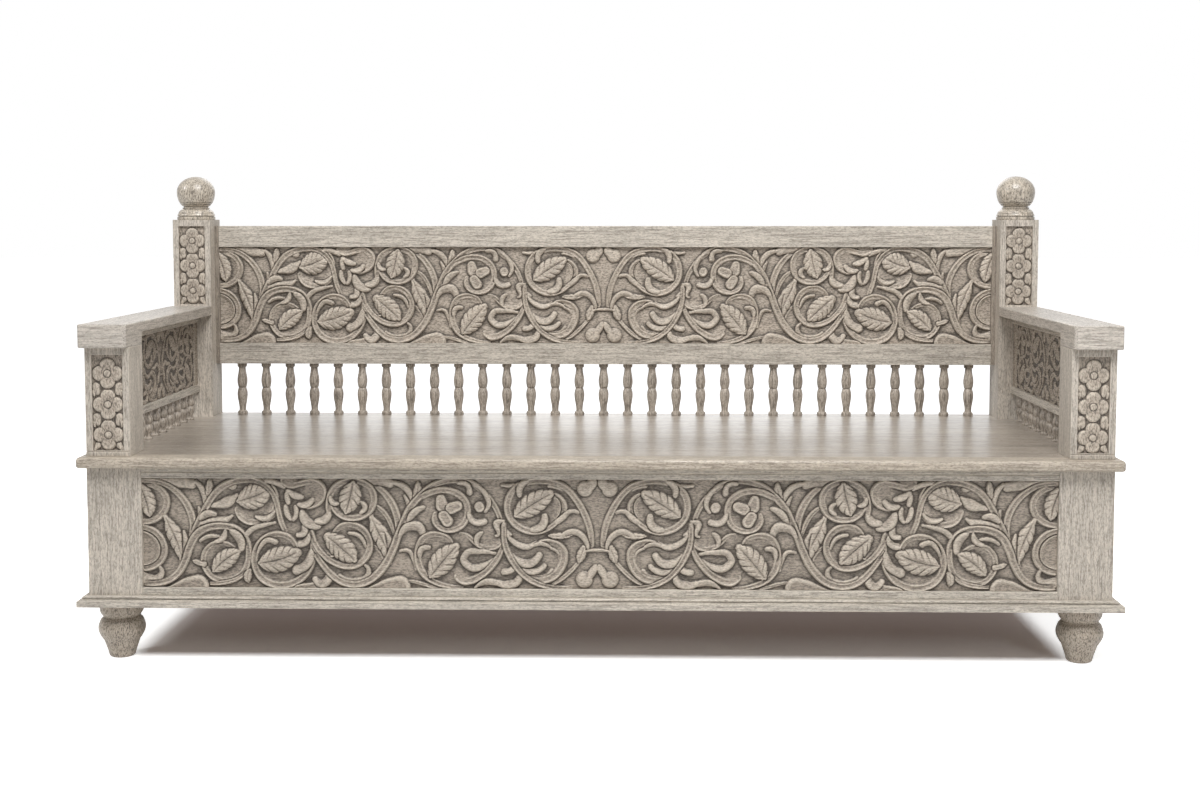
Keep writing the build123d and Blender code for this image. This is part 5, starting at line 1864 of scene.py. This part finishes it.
@dataclass
class Backrest:
    """The rear posts with their finials, and the carved frame over the long row of spindles.

    Flowers and finials are in millimetres. The ball is given by the height and radius where it is widest,
    and the height of its top. Its steps are those below and above the widest level.
    """

    joinery: Joinery
    spindles: SpindleRow = SpindleRow("back_spindles", "back_bottom_rail", 31, Grain.ALONG_X, 2)
    carved: LongPanel = LongPanel("back_carving", "back_carved_panel", ("back_stile_left", "back_stile_right"),
                                  ("back_bottom_rail", "back_top_rail"), BACK_WOOD, 5, 51)
    flowers_at: tuple[float, ...] = (32.4, 92.8, 152.6)
    field_margins: tuple[float, float] = (0.004, 0.015)
    neck: tuple[Station, ...] = (
        Station(0.0, 44.0), Station(1.2, 45.0, Run.SWELL, 2), Station(7.2, 45.0, Run.STRAIGHT, 2),
        Station(8.0, 41.8), Station(9.0, 41.8), Station(9.8, 44.4), Station(15.0, 42.6, Run.TUCK, 4),
        Station(15.6, 41.2), Station(16.2, 41.8), Station(24.6, 35.4, Run.TUCK, 6),
        Station(25.2, 30.8), Station(26.2, 30.4), Station(27.0, 32.2), Station(28.6, 32.4, Run.SWELL, 2),
        Station(29.6, 31.0, Run.TUCK, 2), Station(30.2, 28.4), Station(31.6, 28.6),
        Station(33.0, 32.2), Station(36.4, 35.6, Run.STRAIGHT, 2), Station(37.0, 34.3), Station(37.6, 36.4),
        Station(41.0, 38.9, Run.STRAIGHT, 2), Station(41.6, 37.6), Station(42.2, 39.6))
    ball: tuple[float, float, float] = (66.6, 45.0, 104.0)
    ball_steps: tuple[int, int] = (12, 26)
    last_angle: float = 1.56
    finial_around: int = 112
    finial_sharp: float = 28.0

    def boards(self) -> None:
        """Posts, stiles and the two long rails."""
        for side in Side:
            self.joinery.dress(f"back_post_{side.word}", POST_WOOD, Grain.ALONG_Z, 8 + side.value)
            # painted shade: the stiles take the darker shaded copy of the post wood
            self.joinery.dress(f"back_stile_{side.word}", SHADED_WOOD, Grain.ALONG_Z, 1)
        self.joinery.dress("back_top_rail", RAIL_WOOD, Grain.ALONG_X, 6)
        self.joinery.dress("back_bottom_rail", RAIL_WOOD, Grain.ALONG_X, 7)

    def flowers(self) -> None:
        """The three flowers let into each rear post's front above the arm."""
        under, over = self.field_margins
        for side in Side:
            post = f"back_post_{side.word}"
            foot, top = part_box(f"arm_rail_{side.word}")[1].z + under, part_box(post)[1].z - over
            FlowerField().build(f"back_post_flowers_{side.word}", post, foot, top, self.flowers_at, 61 + side.value)

    def finials(self) -> None:
        """Flattened balls with two fine rings on a ringed neck over a rounded base."""
        finial = Turning((*self.neck, *self._ball()))
        for side in Side:
            node = f"finial_{side.word}"
            low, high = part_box(node)
            middle = (low + high) / 2
            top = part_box(f"back_post_{side.word}")[1].z
            piece = finial.build(f"turned_{node}", [(middle.x, middle.y, top)], self.finial_around, self.finial_sharp)
            settle(piece, "turned_wood", BALL_WOOD.material(Grain.ALONG_Z, 6 + side.value), node)

    def _ball(self) -> list[Station]:
        """Stations of the ball from its ring to its top.

        Formula: below the widest level the radius is a parabola through the starting ring, and above it
        the widest radius times the cosine, over the level at the rise times the sine of the same angle,
        which stops just short of a right angle.

        Returns:
            The stations, without the ring that the neck ends at.
        """
        start, ring = self.neck[-1].height, self.neck[-1].radius
        wide_at, wide, top = self.ball
        below = [Station(z, wide - (wide - ring) * ((wide_at - z) / (wide_at - start)) ** 2)
                 for z in np.linspace(start, wide_at, self.ball_steps[0])[1:]]
        above = [Station(wide_at + (top - wide_at) * math.sin(a), wide * math.cos(a))
                 for a in np.linspace(0, self.last_angle, self.ball_steps[1])[1:]]
        return below + above


# ---------------------------------------------------------------- studio

@dataclass(frozen=True)
class Lamp:
    """A square soft lamp that looks at a point of the bench."""

    name: str
    place: tuple[float, float, float]
    size: float
    power: float
    aim: tuple[float, float, float] = (0.0, 0.0, 0.45)

    def hang(self) -> None:
        """Adds the lamp to the scene."""
        data = bpy.data.lights.new(self.name, "AREA")
        data.size = self.size
        data.energy = self.power
        lamp = bpy.data.objects.new(self.name, data)
        lamp.location = self.place
        lamp.rotation_euler = (Vector(self.aim) - Vector(self.place)).to_track_quat("-Z", "Y").to_euler()
        bpy.context.scene.collection.objects.link(lamp)


@dataclass
class Studio:
    """Camera, floor, lamps and the pale surroundings.

    Under the bench the floor glows for the camera in a painted shadow tone, which fades to white in two
    steps, a quick one that takes most of it and a slow one, starting a rim's width inside the bench's box.
    The painted shadow's tone changes between two depths along Y.
    """

    focal: float = 48.04
    sensor: float = 36.0
    shift: tuple[float, float] = (0.0023, -0.0653)
    eye: tuple[float, float, float] = (0.0709, -3.5579, 0.9080)
    yaw: float = -0.02218
    pitch: float = 0.06634
    lamps: tuple[Lamp, ...] = (
        Lamp("overhead", (0.4, -2.0, 3.5), 1.8, 134), Lamp("right", (2.4, -3.6, 1.7), 0.6, 18),
        Lamp("left", (-4.8, -1.6, 3.5), 0.9, 95), Lamp("behind", (0.0, 3.6, 2.8), 2.6, 40))
    sky: float = 0.11
    floor_reach: float = 30.0
    floor_tones: tuple[Colour, Colour] = ((238, 237, 236), (243, 243, 242))
    floor_mottle: float = 40.0
    floor_dullness: float = 0.9
    floor_shine: float = 0.1
    shadow_edge: float = 0.06
    shadow_reach: float = 0.34
    quick: float = 0.78
    lit_rim: tuple[float, float] = (0.124, 0.098)
    shadow_depths: tuple[float, float] = (-0.22, 0.12)
    # painted shadow: the tones that the floor glows with, for the camera, under the bench, at the front and back
    # depths
    shadow_tones: tuple[Tone, Tone] = ((0.056, 0.036, 0.028, 1), (0.115, 0.088, 0.080, 1))

    def camera(self) -> None:
        """A camera a little above the seat, looking along Y and slightly down."""
        data = bpy.data.cameras.new("camera")
        data.sensor_width = self.sensor
        data.lens = self.focal
        data.shift_x, data.shift_y = self.shift
        data.clip_end = 100.0
        camera = bpy.data.objects.new("camera", data)
        ahead = Vector((math.sin(self.yaw) * math.cos(self.pitch), math.cos(self.yaw) * math.cos(self.pitch),
                        -math.sin(self.pitch)))
        right = Vector((math.cos(self.yaw), -math.sin(self.yaw), 0.0))
        turn = Matrix((right, right.cross(ahead), -ahead)).transposed()
        camera.matrix_world = Matrix.Translation(self.eye) @ turn.to_4x4()
        bpy.context.scene.collection.objects.link(camera)
        bpy.context.scene.camera = camera

    def surroundings(self) -> None:
        """A world that is white to the camera and to gloss, and a soft grey light for the rest."""
        world = bpy.data.worlds.new("surroundings")
        bpy.context.scene.world = world
        world.use_nodes = True
        sky = world.node_tree.nodes["Background"]
        sky.inputs["Color"].default_value = WHITE
        world.node_tree.links.new(Nodes(world.node_tree).seen(self.sky), sky.inputs["Strength"])

    def floor(self) -> None:
        """A wide pale floor that keeps the bench's shadow, adds a painted shadow tone under it, and turns white a
        short way from it.
        """
        reach = self.floor_reach
        points = np.array([(-reach, -reach, 0), (reach, -reach, 0), (reach, reach, 0), (-reach, reach, 0)])
        floor = new_piece("floor", points, [np.array([[0, 1, 2, 3]])])
        shade = Shade("floor_paint")
        mottle = shade.noise(shade.mapped((1, 1, 1)), self.floor_mottle, 3, 0.6)
        dark, pale = self.floor_tones
        shade.link(shade.blend(mottle, linear(*dark), linear(*pale)), "Base Color")
        shade.set("Roughness", self.floor_dullness)
        shade.set("Specular IOR Level", self.floor_shine)
        apart = self._beside(shade)
        white = shade.maths("ADD", shade.spread(apart, 0.0, self.shadow_edge, 0.0, self.quick),
                            shade.spread(apart, 0.0, self.shadow_reach, 0.0, 1 - self.quick))
        # painted shadow: under the bench the floor glows for the camera in a brown tone that stands in for the bench's
        # shadow
        painted_shadow = shade.blend(shade.spread(shade.axis("Y"), *self.shadow_depths), *self.shadow_tones)
        shade.link(shade.blend(white, painted_shadow, WHITE), "Emission Color")
        shade.link(shade.seen(0.0), "Emission Strength")
        floor.data.materials.append(shade.material)

    def _beside(self, shade: Shade) -> Socket:
        """How far a point of the floor lies from the part of it that the bench covers.

        Formula: the root of the sum of the squares of how far it lies past each side of a rectangle.

        Args:
            shade: The floor's material.

        Returns:
            The distance, in metres.
        """
        away = []
        for low, high, axis, rim in zip(CAD_BOX[0], CAD_BOX[1], ("X", "Y"), self.lit_rim):
            from_middle = shade.maths("ABSOLUTE", shade.maths("SUBTRACT", shade.axis(axis), (low + high) / 2))
            past = shade.maths("SUBTRACT", from_middle, (high - low) / 2 - rim)
            over = shade.maths("MAXIMUM", past, 0.0)
            away.append(shade.maths("MULTIPLY", over, over))
        return shade.maths("SQRT", shade.maths("ADD", away[0], away[1]))

    def build(self) -> None:
        """Sets all of it up, with colours shown as they are written."""
        self.camera()
        for lamp in self.lamps:
            lamp.hang()
        self.surroundings()
        self.floor()
        bpy.context.scene.view_settings.view_transform = "Standard"


def main() -> None:
    """Builds every sub-assembly in order."""
    logging.basicConfig(level=logging.INFO, format="%(name)s %(message)s")
    Studio().build()
    joinery = Joinery()
    scrolls = ScrollCarving()
    base = BoxBase(joinery)
    base.boards()
    base.feet()
    base.panels(scrolls)
    Seat(joinery).dress()
    for side in Side:
        arm = ArmSide(joinery, side)
        arm.boards()
        arm.row()
        arm.panel(scrolls)
        arm.flowers()
    back = Backrest(joinery)
    back.boards()
    back.spindles.build()
    back.carved.build(scrolls)
    back.flowers()
    back.finials()


if __name__ == "__main__":
    main()
